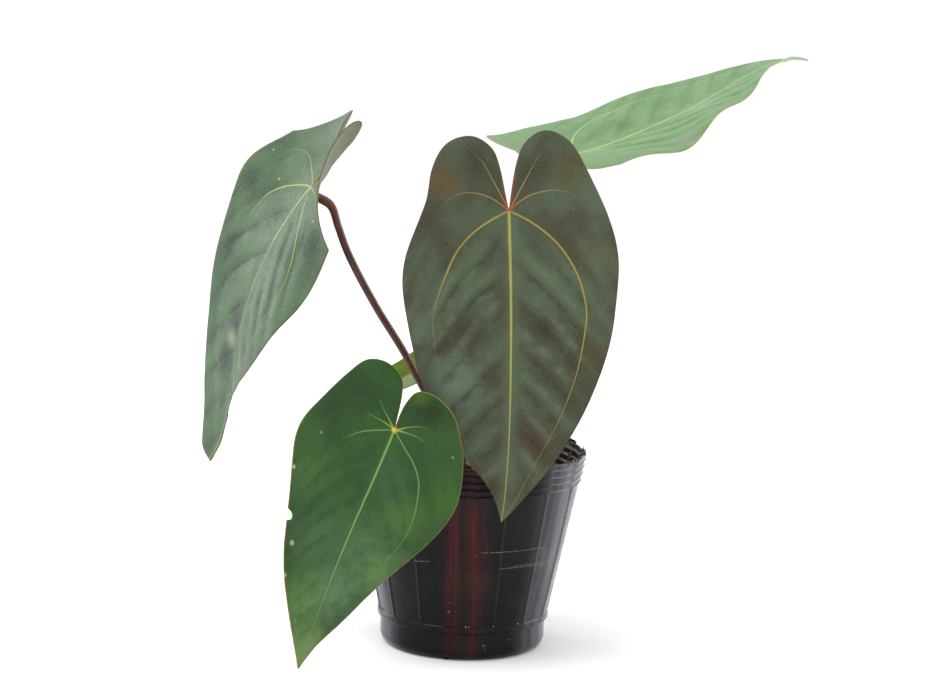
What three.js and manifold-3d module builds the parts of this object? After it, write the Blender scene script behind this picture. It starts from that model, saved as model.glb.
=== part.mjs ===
// A young hybrid anthurium in a soft nursery pot: five heart-shaped leaves on bare stalks,
// one short stem, the potting mix and the thin ribbed pot.
// Millimetres, +Z up. The origin is the centre of the pot's underside, +X is the right of the
// side that the big hanging leaf faces, and +Y points away from that side.
import * as THREE from 'three';
import { mergeVertices } from 'three/addons/utils/BufferGeometryUtils.js';
import Module from 'manifold-3d';

const wasm = await Module();
wasm.setup();

// Gap kept between two pieces that touch
const GAP = 0.3;

// Pot
const POT_HEIGHT = 86;
const RIM_RADIUS = 52.5;
const WALL = 0.9;
const FLOOR_THICKNESS = 1.4;
const BASE_RADIUS = 35.9;
const CORNER_RADIUS = 4.5;
const LEDGE_BOTTOM = 12.5;
const LEDGE_TOP = 15;
const LEDGE_OUT = 1;
const LEDGE_PROUD = 0.5;
const HOOP_START = 73.6;
const HOOP_START_RADIUS = 49.4;
const HOOP_COUNT = 4;
const HOOP_HEIGHT = (POT_HEIGHT - HOOP_START) / HOOP_COUNT;
const HOOP_STEP = 0.7;
const HOOP_LIP = 0.35;
const POT_SIDES = 45;
const RIB_COUNT = 15;
const RIB_WIDTH = 1;
const RIB_PROUD = 0.5;
const FIRST_RIB = -3.8;
const DRAIN_COUNT = 8;
const DRAIN_RADIUS = 3.2;
const DRAIN_CIRCLE = 24;
const FOOT_COUNT = 4;
const FIRST_FOOT = -11;
const FOOT_RADIUS = 2.4;
const FOOT_CIRCLE = 31.5;
const SQUASH = 0.017;

// Potting mix
const MIX_EDGE = 71.5;
const MIX_MOUND = 4.5;
const MIX_MOUND_RADIUS = 24;
const LUMP = 0.55;

// Stem
const STEM_FOOT = 50;
const STEM_TOP = 89;
const STEM_RADIUS = 6.6;

// Leaves
const BLADE_SKIN = 0.4;
const RIB_DEPTH = 0.9;
const RIB_HALF_WIDTH = 1.6;
const ROW_LEAN = 1.12;
const RIB_FADE = 0.7;
const LEAF_ROWS = 23;
const LEAF_COLUMNS = [0, 0.05, 0.2, 0.4, 0.6, 0.8, 1];
const SINUS_END = 1.7;
const LOBE_END = 4.6;
const PATH_STEPS = 40;
const STALK_SIDES = 10;
const FOOT_SWELL = 0.45;
const FOOT_REACH = 14;
const KNEE_SWELL = 0.22;
const KNEE_REACH = 6;
const KNEE_BELOW_BLADE = 7;
const APPROACH = 4;

const radians = THREE.MathUtils.degToRad;

function solidOf(geometry) {
  const bare = geometry.clone();
  bare.deleteAttribute('normal');
  bare.deleteAttribute('uv');
  const merged = mergeVertices(bare, 1e-4);
  return new wasm.Manifold(new wasm.Mesh({
    numProp: 3,
    vertProperties: new Float32Array(merged.attributes.position.array),
    triVerts: new Uint32Array(merged.index.array),
  }));
}

function geometryOf(solid) {
  const mesh = solid.getMesh();
  const geometry = new THREE.BufferGeometry();
  const places = new Float32Array(mesh.numVert * 3);
  for (let i = 0; i < mesh.numVert; i += 1) {
    for (let k = 0; k < 3; k += 1) {
      places[3 * i + k] = mesh.vertProperties[mesh.numProp * i + k];
    }
  }
  geometry.setAttribute('position', new THREE.BufferAttribute(places, 3));
  geometry.setIndex([...mesh.triVerts]);
  geometry.computeVertexNormals();
  return geometry;
}

function moveEach(geometry, place) {
  const position = geometry.attributes.position;
  const point = new THREE.Vector3();
  for (let i = 0; i < position.count; i += 1) {
    point.fromBufferAttribute(position, i);
    place(point, i);
    position.setXYZ(i, point.x, point.y, point.z);
  }
  return geometry;
}

// The soft pot is a little narrower from side to side than from front to back, most at the rim
function squash(point) {
  const amount = SQUASH * (point.z / POT_HEIGHT) ** 2;
  point.x *= 1 - amount;
  point.y *= 1 + amount;
}

// LatheGeometry turns about its own Y axis, so its result is stood up onto Z
function turned(outline, sides) {
  const geometry = new THREE.LatheGeometry(outline.map(([r, z]) => new THREE.Vector2(r, z)), sides);
  geometry.rotateX(Math.PI / 2);
  return geometry;
}

// Pot: one thin wall with four stepped hoops under the rim and a ledge low down
function wallRadius(z) {
  const low = BASE_RADIUS + LEDGE_OUT;
  return low + (HOOP_START_RADIUS - low) * (z - LEDGE_TOP) / (HOOP_START - LEDGE_TOP);
}

function potOutline() {
  const outer = [[0, 0]];
  for (const turn of [0, 30, 60, 90]) {
    outer.push([
      BASE_RADIUS - CORNER_RADIUS * (1 - Math.sin(radians(turn))),
      CORNER_RADIUS * (1 - Math.cos(radians(turn))),
    ]);
  }
  const ledgeRadius = BASE_RADIUS + LEDGE_OUT + LEDGE_PROUD;
  outer.push([BASE_RADIUS, LEDGE_BOTTOM - LEDGE_PROUD]);
  outer.push([ledgeRadius, LEDGE_BOTTOM]);
  outer.push([ledgeRadius, LEDGE_TOP]);
  outer.push([wallRadius(LEDGE_TOP + LEDGE_PROUD), LEDGE_TOP + LEDGE_PROUD]);
  const inner = [];
  for (let hoop = 0; hoop < HOOP_COUNT; hoop += 1) {
    const z = HOOP_START + hoop * HOOP_HEIGHT;
    const radius = HOOP_START_RADIUS + hoop * HOOP_STEP;
    outer.push([radius, z]);
    outer.push([radius + HOOP_STEP, z + HOOP_LIP]);
    inner.push([radius - WALL, z]);
    inner.push([radius + HOOP_STEP - WALL, z + 2 * HOOP_LIP]);
  }
  outer.push([RIM_RADIUS, POT_HEIGHT - WALL]);
  outer.push([RIM_RADIUS, POT_HEIGHT]);
  inner.push([RIM_RADIUS - WALL, POT_HEIGHT]);
  const floor = [
    [BASE_RADIUS + LEDGE_OUT - WALL, LEDGE_TOP],
    [BASE_RADIUS - WALL, LEDGE_BOTTOM],
    [BASE_RADIUS - WALL, CORNER_RADIUS],
    [BASE_RADIUS - CORNER_RADIUS, FLOOR_THICKNESS],
    [0, FLOOR_THICKNESS],
  ];
  return [...outer, ...inner.reverse(), ...floor];
}

function placedAround(geometry, degrees, radius, z) {
  geometry.rotateZ(radians(degrees));
  geometry.translate(radius * Math.sin(radians(degrees)), -radius * Math.cos(radians(degrees)), z);
  return geometry;
}

function potSolid() {
  let pot = solidOf(turned(potOutline(), POT_SIDES));
  const ribHeight = HOOP_START - LEDGE_TOP;
  const slope = Math.atan2(HOOP_START_RADIUS - BASE_RADIUS - LEDGE_OUT, ribHeight);
  for (let i = 0; i < RIB_COUNT; i += 1) {
    const rib = new THREE.BoxGeometry(RIB_WIDTH, 2 * RIB_PROUD, ribHeight / Math.cos(slope));
    rib.rotateX(slope);
    const middle = (HOOP_START + LEDGE_TOP) / 2;
    placedAround(rib, FIRST_RIB + i * 360 / RIB_COUNT, wallRadius(middle), middle);
    pot = pot.add(solidOf(rib));
  }
  for (let i = 0; i < FOOT_COUNT; i += 1) {
    const foot = new THREE.CylinderGeometry(FOOT_RADIUS, FOOT_RADIUS, FLOOR_THICKNESS, 8);
    foot.rotateX(Math.PI / 2);
    placedAround(foot, FIRST_FOOT + i * 360 / FOOT_COUNT, FOOT_CIRCLE, FLOOR_THICKNESS / 2);
    pot = pot.add(solidOf(foot));
  }
  for (let i = 0; i < DRAIN_COUNT; i += 1) {
    const drain = new THREE.CylinderGeometry(DRAIN_RADIUS, DRAIN_RADIUS, 4 * FLOOR_THICKNESS, 10);
    drain.rotateX(Math.PI / 2);
    placedAround(drain, i * 360 / DRAIN_COUNT, DRAIN_CIRCLE, 0);
    pot = pot.subtract(solidOf(drain));
  }
  return moveEach(geometryOf(pot), squash);
}

// Potting mix: fills the pot to a little under the hoops, mounded and lumpy on top
function mixHeight(x, y) {
  const mound = MIX_MOUND * Math.exp(-(x * x + y * y) / MIX_MOUND_RADIUS ** 2);
  const lumps = Math.sin(0.31 * x + 0.8) * Math.sin(0.27 * y + 0.4) + Math.sin(0.13 * x - 0.22 * y);
  return mound + LUMP * lumps;
}

function mixGeometry() {
  const clear = WALL + GAP + 0.1;
  const outline = [
    [0, FLOOR_THICKNESS + GAP],
    [BASE_RADIUS - CORNER_RADIUS - GAP, FLOOR_THICKNESS + GAP],
    [BASE_RADIUS - clear, CORNER_RADIUS + GAP],
    [BASE_RADIUS - clear, LEDGE_BOTTOM + GAP],
    [wallRadius(LEDGE_TOP) - clear, LEDGE_TOP + GAP],
    [wallRadius(MIX_EDGE) - clear, MIX_EDGE],
  ];
  const edge = wallRadius(MIX_EDGE) - clear;
  for (const share of [0.88, 0.72, 0.56, 0.4, 0.26, 0.13, 0]) {
    outline.push([edge * share, MIX_EDGE + 0.1]);
  }
  const mix = moveEach(turned(outline, 40), (point) => {
    if (point.z > MIX_EDGE + 0.05) {
      point.z += mixHeight(point.x, point.y);
    }
  });
  const hole = new THREE.CylinderGeometry(STEM_RADIUS + GAP, STEM_RADIUS + GAP, STEM_TOP, 20);
  hole.rotateX(Math.PI / 2);
  hole.translate(0, 0, STEM_FOOT - GAP + STEM_TOP / 2);
  return moveEach(geometryOf(solidOf(mix).subtract(solidOf(hole))), squash);
}

// Leaf: a flat heart, drawn as [across, along] from the end of the stalk, bent along its midrib,
// folded along it, arched across it less and less towards the tip, and waved at the edge
function smoothEdge(points, t) {
  const last = points.length - 1;
  const i = Math.min(Math.floor(t), last - 1);
  const w = t - i;
  const around = [Math.max(i - 1, 0), i, i + 1, Math.min(i + 2, last)].map((n) => points[n]);
  return [0, 1].map((k) => {
    const [a, b, c, d] = around.map((point) => point[k]);
    const leave = (c - a) / 2;
    const reach = (d - b) / 2;
    return (2 * b - 2 * c + leave + reach) * w ** 3 + (3 * c - 3 * b - 2 * leave - reach) * w ** 2
      + leave * w + b;
  });
}

function turnAt(leaf, side, along) {
  const far = THREE.MathUtils.clamp(along / leaf.length, 0, 1.05);
  const back = Math.max(-along, 0) / leaf.lobeLength;
  const bend = leaf.bend * far + leaf.tipCurl * far ** 7 + side.lobeBend * back;
  const turn = new THREE.Quaternion().copy(leaf.start);
  const axes = [[1, 0, 0], [0, 0, 1], [0, 1, 0]];
  const angles = [bend, leaf.sweep * far * far, leaf.twist * far];
  angles.forEach((angle, n) => {
    turn.multiply(new THREE.Quaternion().setFromAxisAngle(new THREE.Vector3(...axes[n]), radians(angle)));
  });
  return turn;
}

function spineAt(leaf, side, along) {
  const place = new THREE.Vector3();
  for (let n = 0; n < PATH_STEPS; n += 1) {
    const turn = turnAt(leaf, side, along * (n + 0.5) / PATH_STEPS);
    place.add(new THREE.Vector3(0, along / PATH_STEPS, 0).applyQuaternion(turn));
  }
  return place.add(leaf.junction);
}

function bladePoint(leaf, side, across, along) {
  const far = THREE.MathUtils.clamp(along / leaf.length, 0, 1);
  const back = Math.max(-along, 0) / leaf.lobeLength;
  const fold = radians(side.fold + (side.foldAtTip - side.fold) * far + side.lobeFold * back);
  const arch = radians(side.arch * (1 - far)) / 10 * across;
  const middle = fold + arch / 2;
  const chord = Math.abs(arch) < 1e-6 ? across : across * Math.sin(arch / 2) / (arch / 2);
  const taper = THREE.MathUtils.clamp((leaf.length - along) / leaf.halfWidth, 0, 1);
  const swell = Math.sin(2 * Math.PI * along / side.waveLength + side.wavePhase);
  const wave = side.wave * (across / leaf.halfWidth) ** 2 * swell * taper;
  const local = new THREE.Vector3(side.hand * chord * Math.cos(middle), 0, chord * Math.sin(middle) + wave);
  return local.applyQuaternion(turnAt(leaf, side, along)).add(spineAt(leaf, side, along));
}

// Rows fan from the stalk end into the lobe, then leave the midrib one after another to the edge.
// The first row is the edge of the notch between the lobes.
function leafRow(leaf, side, share) {
  const last = side.edge.length - 1;
  const t = SINUS_END + (last - SINUS_END) * share;
  const end = smoothEdge(side.edge, t);
  const root = THREE.MathUtils.clamp((t - LOBE_END) / (last - LOBE_END), 0, 1) ** ROW_LEAN * leaf.length;
  const hug = THREE.MathUtils.clamp(1 - (t - SINUS_END) / (LOBE_END - SINUS_END), 0, 1) ** 2;
  const notch = smoothEdge(side.edge, SINUS_END);
  return LEAF_COLUMNS.map((u) => {
    const edge = smoothEdge(side.edge, SINUS_END * u);
    return [
      end[0] * u + hug * (edge[0] - notch[0] * u),
      root * (1 - u) + end[1] * u + hug * (edge[1] - notch[1] * u),
    ];
  });
}

function bladeGeometry(leaf, above = BLADE_SKIN, below = BLADE_SKIN) {
  const places = [];
  const flat = [];
  const sheet = [];
  const ids = { right: [], left: [] };
  const spine = [];
  const columns = LEAF_COLUMNS.length;
  function add(side, across, along) {
    places.push(bladePoint(leaf, side, across, along));
    flat.push([across, along]);
    return places.length - 1;
  }
  for (const name of ['right', 'left']) {
    const side = leaf[name];
    for (let k = 0; k < LEAF_ROWS; k += 1) {
      const row = leafRow(leaf, side, k / (LEAF_ROWS - 1));
      const last = k === LEAF_ROWS - 1;
      if (name === 'right') {
        const shared = k > 0 && row[0][1] === 0;
        spine.push(shared ? spine[0] : add(side, 0, row[0][1]));
      }
      const line = [spine[k]];
      for (let j = 1; j < columns; j += 1) {
        line.push(last ? spine[k] : add(side, row[j][0], row[j][1]));
      }
      ids[name].push(line);
    }
  }
  function face(a, b, c, mirrored) {
    if (a !== b && b !== c && c !== a) {
      sheet.push(mirrored ? [a, c, b] : [a, b, c]);
    }
  }
  for (const name of ['right', 'left']) {
    const mirrored = name === 'right';
    for (let k = 0; k < LEAF_ROWS - 1; k += 1) {
      for (let j = 0; j < columns - 1; j += 1) {
        const [a, b] = [ids[name][k][j], ids[name][k + 1][j]];
        const [c, d] = [ids[name][k + 1][j + 1], ids[name][k][j + 1]];
        face(a, b, c, mirrored);
        face(a, c, d, mirrored);
      }
    }
  }
  const normals = places.map(() => new THREE.Vector3());
  for (const [a, b, c] of sheet) {
    const first = new THREE.Vector3().subVectors(places[b], places[a]);
    const normal = first.cross(new THREE.Vector3().subVectors(places[c], places[a]));
    [a, b, c].forEach((n) => normals[n].add(normal));
  }
  normals.forEach((normal) => normal.normalize());
  const thick = flat.map(([across, along]) => {
    const away = along < 0 ? Math.hypot(across, along) : across;
    const fade = 1 - RIB_FADE * THREE.MathUtils.clamp(along / leaf.length, 0, 1);
    return below + RIB_DEPTH * fade * Math.exp(-((away / RIB_HALF_WIDTH) ** 2));
  });
  const count = places.length;
  const position = [];
  places.forEach((place, n) => position.push(...place.clone().addScaledVector(normals[n], above)));
  places.forEach((place, n) => position.push(...place.clone().addScaledVector(normals[n], -thick[n])));
  const index = [];
  sheet.forEach(([a, b, c]) => index.push(a, b, c, a + count, c + count, b + count));
  const outside = (name) => [
    ...ids[name][0],
    ...ids[name].slice(1).map((line) => line[columns - 1]),
  ];
  const loop = [...outside('left'), ...outside('right').reverse().slice(1, -1)];
  loop.forEach((a, n) => {
    const b = loop[(n + 1) % loop.length];
    index.push(a, b, b + count, a, b + count, a + count);
  });
  const geometry = new THREE.BufferGeometry();
  geometry.setAttribute('position', new THREE.Float32BufferAttribute(position, 3));
  geometry.setIndex(index);
  geometry.computeVertexNormals();
  return geometry;
}

// Stalk: a round tube, thicker at its foot and in the last stretch under the blade
function stalkPath(leaf) {
  const reach = leaf.stalk.radius + GAP;
  const end = spineAt(leaf, leaf.right, reach);
  const facing = new THREE.Vector3(0, 0, 1).applyQuaternion(turnAt(leaf, leaf.right, reach));
  const points = leaf.stalk.route.map((point) => new THREE.Vector3(...point));
  points.push(end.clone().addScaledVector(facing, -APPROACH), end);
  return new THREE.CatmullRomCurve3(points);
}

function stalkGeometry(leaf, extra = 0) {
  const { radius, steps } = leaf.stalk;
  const path = stalkPath(leaf);
  const section = new THREE.Shape().absarc(0, 0, 1, 0, 2 * Math.PI);
  const tube = new THREE.ExtrudeGeometry(section, {
    steps, extrudePath: path, bevelEnabled: false, curveSegments: STALK_SIDES / 2,
  });
  const centres = path.getSpacedPoints(steps);
  const length = path.getLength();
  return moveEach(tube, (point) => {
    let nearest = 0;
    centres.forEach((centre, n) => {
      if (centre.distanceTo(point) < centres[nearest].distanceTo(point)) {
        nearest = n;
      }
    });
    const along = length * nearest / steps;
    const foot = FOOT_SWELL * Math.exp(-((along / FOOT_REACH) ** 2));
    const knee = KNEE_SWELL * Math.exp(-(((length - KNEE_BELOW_BLADE - along) / KNEE_REACH) ** 2));
    const size = radius * (1 + foot + knee) + extra;
    point.sub(centres[nearest]).multiplyScalar(size).add(centres[nearest]);
  });
}

const leaves = {
  left: {
    junction: new THREE.Vector3(-70, -8, 198),
    heading: 297.5, pitch: -47.5, roll: -23.5,
    length: 139.5, lobeLength: 38, halfWidth: 43,
    bend: -48.5, tipCurl: 43.5, sweep: 14.5, twist: -13.5,
    right: {
      fold: 13, foldAtTip: 32.5, arch: 9.5, lobeBend: -36.5, lobeFold: -32.5,
      wave: 0.6, waveLength: 46, wavePhase: -1.4,
      edge: [
        [0, 0], [1.5, -21], [5.5, -29.5], [15.5, -32.5], [27, -28.5], [35.5, -17], [41, 0],
        [48.5, 22], [46, 43.5], [38, 67.5], [31.5, 91], [22.5, 115.5], [11.5, 135.5], [0, 139.5],
      ],
    },
    left: {
      fold: -12, foldAtTip: -2, arch: -8, lobeBend: 27.5, lobeFold: 60,
      wave: -0.7, waveLength: 76.5, wavePhase: 0.3,
      edge: [
        [0, 0], [9, -22], [14, -33], [22, -39.5], [31, -35.5], [37, -22], [43, -2.5],
        [51, 24.5], [49.5, 48], [40.5, 73], [23.5, 95], [8.5, 109], [2.5, 125], [0, 139.5],
      ],
    },
    stalk: {
      radius: 1.65, steps: 30,
      route: [
        [-4.5, 0.5, 79], [-9, -1.5, 94], [-19.6, -3, 111.4], [-29.1, -4, 128.2],
        [-41.5, -5, 147.5], [-53.7, -6.5, 169.8], [-58.2, -7.2, 181.3], [-61.6, -7.6, 190.3],
      ],
    },
    colour: 0x3f5a49, stalkColour: 0x6b3c30,
  },
  centre: {
    junction: new THREE.Vector3(13.8, -48, 194.2),
    heading: 171, pitch: -68, roll: -7,
    length: 129, lobeLength: 35, halfWidth: 40,
    bend: -14, tipCurl: -21, sweep: -1.5, twist: 15,
    right: {
      fold: 10, foldAtTip: -2, arch: -0.5, lobeBend: -3, lobeFold: -10,
      wave: 3.5, waveLength: 59, wavePhase: 1.6,
      edge: [
        [0, 0], [3.5, -18.5], [7.5, -27], [16, -31], [26, -27], [33, -15.5], [38, 1],
        [44.5, 22], [44.5, 42], [40, 63], [32, 82], [19.5, 100.5], [6, 116], [0, 129],
      ],
    },
    left: {
      fold: 9, foldAtTip: 4.5, arch: -0.5, lobeBend: -7.5, lobeFold: -9,
      wave: 1.5, waveLength: 53.5, wavePhase: 1,
      edge: [
        [0, 0], [3.5, -20], [8, -30], [17, -35], [27.5, -30.5], [34.5, -18], [40, -1],
        [45, 21], [43, 41.5], [38, 62.5], [30.5, 82], [19.5, 101.5], [8, 117.5], [0, 129],
      ],
    },
    stalk: {
      radius: 1.65, steps: 26,
      route: [
        [1.5, -4.2, 84], [3, -9, 106], [6.5, -18, 136], [9.5, -28, 165], [11, -37, 183],
      ],
    },
    colour: 0x4d5344, stalkColour: 0x6b3c30,
  },
  low: {
    junction: new THREE.Vector3(-29.4, -88, 108.7),
    heading: 210, pitch: -51, roll: -51,
    length: 104.5, lobeLength: 28.5, halfWidth: 32.5,
    bend: -34, tipCurl: -11.5, sweep: 18.5, twist: -43,
    right: {
      fold: -1.5, foldAtTip: 4.5, arch: -2.5, lobeBend: 10.5, lobeFold: -7,
      wave: -2, waveLength: 64, wavePhase: 0.6,
      edge: [
        [0, 0], [2.5, -16], [5.5, -23], [13, -26.5], [21, -23.5], [26.5, -13.5], [31.5, 0],
        [36.5, 17.5], [36, 33.5], [31.5, 50.5], [25, 66], [15.5, 81.5], [6, 95], [0, 104.5],
      ],
    },
    left: {
      fold: 13, foldAtTip: -2.5, arch: 0, lobeBend: -61, lobeFold: 32.5,
      wave: 4, waveLength: 90, wavePhase: 0.5,
      edge: [
        [0, 0], [-0.8, -12.5], [2, -19], [11, -22.5], [19.5, -20.5], [25, -11.5], [30, 1],
        [34, 18], [33, 34], [29.5, 51], [23.5, 67], [15, 83], [5.5, 95.5], [0, 104.5],
      ],
    },
    stalk: {
      radius: 1.4, steps: 22,
      route: [
        [-2.2, -4, 77], [-7, -14, 94], [-15, -31, 103], [-24, -51, 106.5], [-31, -70, 104.5],
      ],
    },
    colour: 0x365e2c, stalkColour: 0x5d5a31,
  },
  right: {
    junction: new THREE.Vector3(43.3, 25, 213.2),
    heading: 63, pitch: 14, roll: -5.5,
    length: 133, lobeLength: 36, halfWidth: 41,
    bend: 22.5, tipCurl: -48, sweep: 7.5, twist: -1,
    right: {
      fold: -1, foldAtTip: 12.5, arch: -4, lobeBend: -30, lobeFold: 7.5,
      wave: 2, waveLength: 44, wavePhase: 0.7,
      edge: [
        [0, 0], [3.5, -22.5], [7.5, -32.5], [16, -36.5], [27, -31.5], [34.5, -17.5], [40, 0.5],
        [46.5, 23], [45.5, 43], [39, 64], [29.5, 83], [17.5, 103], [6, 120], [0, 133],
      ],
    },
    left: {
      fold: 17.5, foldAtTip: 10, arch: 0.5, lobeBend: -36.5, lobeFold: -1,
      wave: 1.5, waveLength: 76, wavePhase: 2.5,
      edge: [
        [0, 0], [6, -21.5], [11, -31], [20, -36], [30, -31.5], [36, -18], [40.5, 0],
        [45, 23], [44, 43.5], [38.5, 65], [30, 84], [18.5, 103.5], [6.5, 120], [0, 133],
      ],
    },
    stalk: {
      radius: 1.65, steps: 28,
      route: [
        [4.5, 1, 79], [9, 6, 108], [19, 12, 139], [30, 18, 169], [40, 23, 191], [45.4, 25.5, 203],
      ],
    },
    colour: 0x76a065, stalkColour: 0x7a5a3c,
  },
  back: {
    junction: new THREE.Vector3(-9.5, 22, 121.2),
    heading: 270, pitch: -22, roll: -13,
    length: 56, lobeLength: 15, halfWidth: 17.5,
    bend: -12, tipCurl: -10, sweep: 0, twist: 0,
    right: {
      fold: 12, foldAtTip: 8, arch: -3, lobeBend: -5, lobeFold: 0,
      wave: 0.6, waveLength: 30, wavePhase: 0,
      edge: [
        [0, 0], [1.5, -8.5], [3.5, -12.5], [7.5, -14.5], [12, -12.5], [14.5, -7.5], [16.5, 0],
        [19, 9.5], [18.5, 18], [16, 27], [13, 35.5], [8, 43.5], [3, 50.5], [0, 56],
      ],
    },
    left: {
      fold: 12, foldAtTip: 8, arch: -3, lobeBend: -5, lobeFold: 0,
      wave: 0.6, waveLength: 34, wavePhase: 1,
      edge: [
        [0, 0], [1.5, -8.5], [3.5, -12.5], [7.5, -14.5], [12, -12.5], [14.5, -7.5], [16.5, 0],
        [19, 9.5], [18.5, 18], [16, 27], [13, 35.5], [8, 43.5], [3, 50.5], [0, 56],
      ],
    },
    stalk: {
      radius: 1.2, steps: 14,
      route: [[-0.5, 4.4, 82], [0, 9, 95], [-2, 16, 107.5], [-6.3, 20.5, 115.6]],
    },
    colour: 0x5f7434, stalkColour: 0x6c6a38,
  },
};

for (const leaf of Object.values(leaves)) {
  const angles = [-leaf.heading, leaf.pitch, leaf.roll].map(radians);
  const [turn, tilt, roll] = [[0, 0, 1], [1, 0, 0], [0, 1, 0]].map((axis, n) => (
    new THREE.Quaternion().setFromAxisAngle(new THREE.Vector3(...axis), angles[n])
  ));
  leaf.start = turn.multiply(tilt).multiply(roll);
  leaf.right.hand = 1;
  leaf.left.hand = -1;
}

// Stem: a short stub standing in the mix, with a socket for the foot of each stalk
function stemGeometry() {
  let stem = solidOf(turned([
    [0, STEM_FOOT], [STEM_RADIUS * 0.7, STEM_FOOT], [STEM_RADIUS, STEM_FOOT + 5],
    [STEM_RADIUS, STEM_TOP - 10], [STEM_RADIUS * 0.9, STEM_TOP - 5],
    [STEM_RADIUS * 0.6, STEM_TOP - 1.5], [0, STEM_TOP],
  ], 20));
  for (const leaf of Object.values(leaves)) {
    stem = stem.subtract(solidOf(stalkGeometry(leaf, GAP)));
  }
  return geometryOf(stem);
}

// The stalk's end is shaped to the underside of the blade, one gap away from it
function fittedStalk(leaf) {
  const clearance = bladeGeometry(leaf, 2 * leaf.stalk.radius, BLADE_SKIN + GAP);
  return geometryOf(solidOf(stalkGeometry(leaf)).subtract(solidOf(clearance)));
}

const group = new THREE.Group();

function put(name, geometry, colour, roughness) {
  const material = new THREE.MeshStandardMaterial({ color: colour, roughness, metalness: 0 });
  const mesh = new THREE.Mesh(geometry, material);
  mesh.name = name;
  group.add(mesh);
}

put('pot', potSolid(), 0x141416, 0.35);
put('potting_mix', mixGeometry(), 0x4a3a2c, 0.95);
put('stem', stemGeometry(), 0x6f5a38, 0.7);
for (const [name, leaf] of Object.entries(leaves)) {
  put(`stalk_${name}`, fittedStalk(leaf), leaf.stalkColour, 0.5);
  put(`blade_${name}`, bladeGeometry(leaf), leaf.colour, 0.5);
}

export default group;
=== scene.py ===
import bmesh
import bpy
import numpy as np
from mathutils import Matrix, Vector


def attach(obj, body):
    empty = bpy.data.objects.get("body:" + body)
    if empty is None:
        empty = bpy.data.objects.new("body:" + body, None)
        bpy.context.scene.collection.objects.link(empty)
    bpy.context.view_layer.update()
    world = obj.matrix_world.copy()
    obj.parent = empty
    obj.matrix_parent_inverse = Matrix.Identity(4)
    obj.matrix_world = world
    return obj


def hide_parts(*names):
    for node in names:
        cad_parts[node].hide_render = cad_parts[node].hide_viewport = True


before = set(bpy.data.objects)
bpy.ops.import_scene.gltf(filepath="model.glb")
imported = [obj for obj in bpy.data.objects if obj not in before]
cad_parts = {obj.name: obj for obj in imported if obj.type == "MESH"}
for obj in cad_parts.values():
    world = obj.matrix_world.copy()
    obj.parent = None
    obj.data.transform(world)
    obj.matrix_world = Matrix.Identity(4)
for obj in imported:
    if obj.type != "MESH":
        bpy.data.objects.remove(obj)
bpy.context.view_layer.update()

# The pot: a soft black nursery pot, blown from one thin skin of recycled plastic, so light from behind
# shows dull red through its front. Fine ribs run down its side, four stepped hoops stiffen its top, and
# the rim is left as it was torn off its neighbour in the sheet. All sizes here are in millimetres.
MM = 0.001
POT_HEIGHT = 86
RIM_RADIUS = 52.5
POT_WALL = 0.9
POT_FLOOR = 1.4
BASE_RADIUS = 35.9
BASE_CORNER = 4.5
LEDGE_BOTTOM = 12.5
LEDGE_TOP = 15
LEDGE_RADIUS = 37.4
WALL_FOOT = 36.9
HOOP_START = 73.6
HOOP_START_RADIUS = 49.4
HOOP_COUNT = 4
HOOP_RISE = (POT_HEIGHT - HOOP_START) / HOOP_COUNT
HOOP_STEP = 0.7
RIB_COUNT = 15
FIRST_RIB = -3.8
RIB_PROUD = 0.5
RIB_HALF_WIDTH = 0.5
POT_COLUMNS = 360
DRAIN_COUNT = 8
DRAIN_CIRCLE = 24
DRAIN_RADIUS = 3.2
DRAIN_BAND = (17, 31)
FOOT_CIRCLE = 31.5
FOOT_RADIUS = 2.4
FIRST_FOOT = -11
SQUASH = 0.017


def new_piece(name, places, faces):
    """Makes one object from places in millimetres and lists of corner numbers, smooth and on its body."""
    mesh = bpy.data.meshes.new(name)
    mesh.from_pydata((np.asarray(places) * MM).tolist(), [], [list(face) for face in faces])
    mesh.validate()
    mesh.shade_smooth()
    piece = bpy.data.objects.new(name, mesh)
    bpy.context.scene.collection.objects.link(piece)
    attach(piece, "root")
    return piece


def grid_faces(ids):
    """Four-cornered faces between each pair of neighbouring rows and columns of a table of numbers."""
    corners = ids[:-1, :-1], ids[:-1, 1:], ids[1:, 1:], ids[1:, :-1]
    return np.stack(corners, -1).reshape(-1, 4)


def ring_faces(rows, columns, first=0):
    """Faces round a stack of closed rings whose corners are numbered from first."""
    ids = first + np.arange(rows * columns).reshape(rows, columns)
    return grid_faces(np.hstack([ids, ids[:, :1]]))


def rounded(outline, radius, steps=3):
    """Each inner corner of an open outline becomes a short parabola that starts and ends radius from it,
    or a third of the way along where a side is shorter than that."""
    points = np.asarray(outline, float)
    result = [points[0]]
    for before, corner, after in zip(points[:-2], points[1:-1], points[2:]):
        near, far = before - corner, after - corner
        near *= min(radius / np.hypot(*near), 1 / 3)
        far *= min(radius / np.hypot(*far), 1 / 3)
        for t in np.linspace(0, 1, steps + 1):
            result.append(corner + near * (1 - t) ** 2 + far * t ** 2)
    result.append(points[-1])
    return np.array(result)


def stretched(outline, longest):
    """The same outline with points added, so that no side is longer than the longest given."""
    result = [outline[:1]]
    for a, b in zip(outline[:-1], outline[1:]):
        count = max(int(np.ceil(np.hypot(*(b - a)) / longest)), 1)
        share = np.arange(1, count + 1)[:, None] / count
        result.append(a + (b - a) * share)
    return np.concatenate(result)


def unit(value):
    """Held between 0 and 1."""
    return np.clip(value, 0, 1)


def bell(away, wide):
    """Falls from 1 in a bell curve, to about a third at the width."""
    return np.exp(-(away / wide) ** 2)


def around(radius, z, degrees):
    """A place on a circle about the pot's axis, where 0 degrees faces the camera and 90 is to its right."""
    turn = np.radians(degrees)
    return np.stack(np.broadcast_arrays(radius * np.sin(turn), -radius * np.cos(turn), z), -1)


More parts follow.
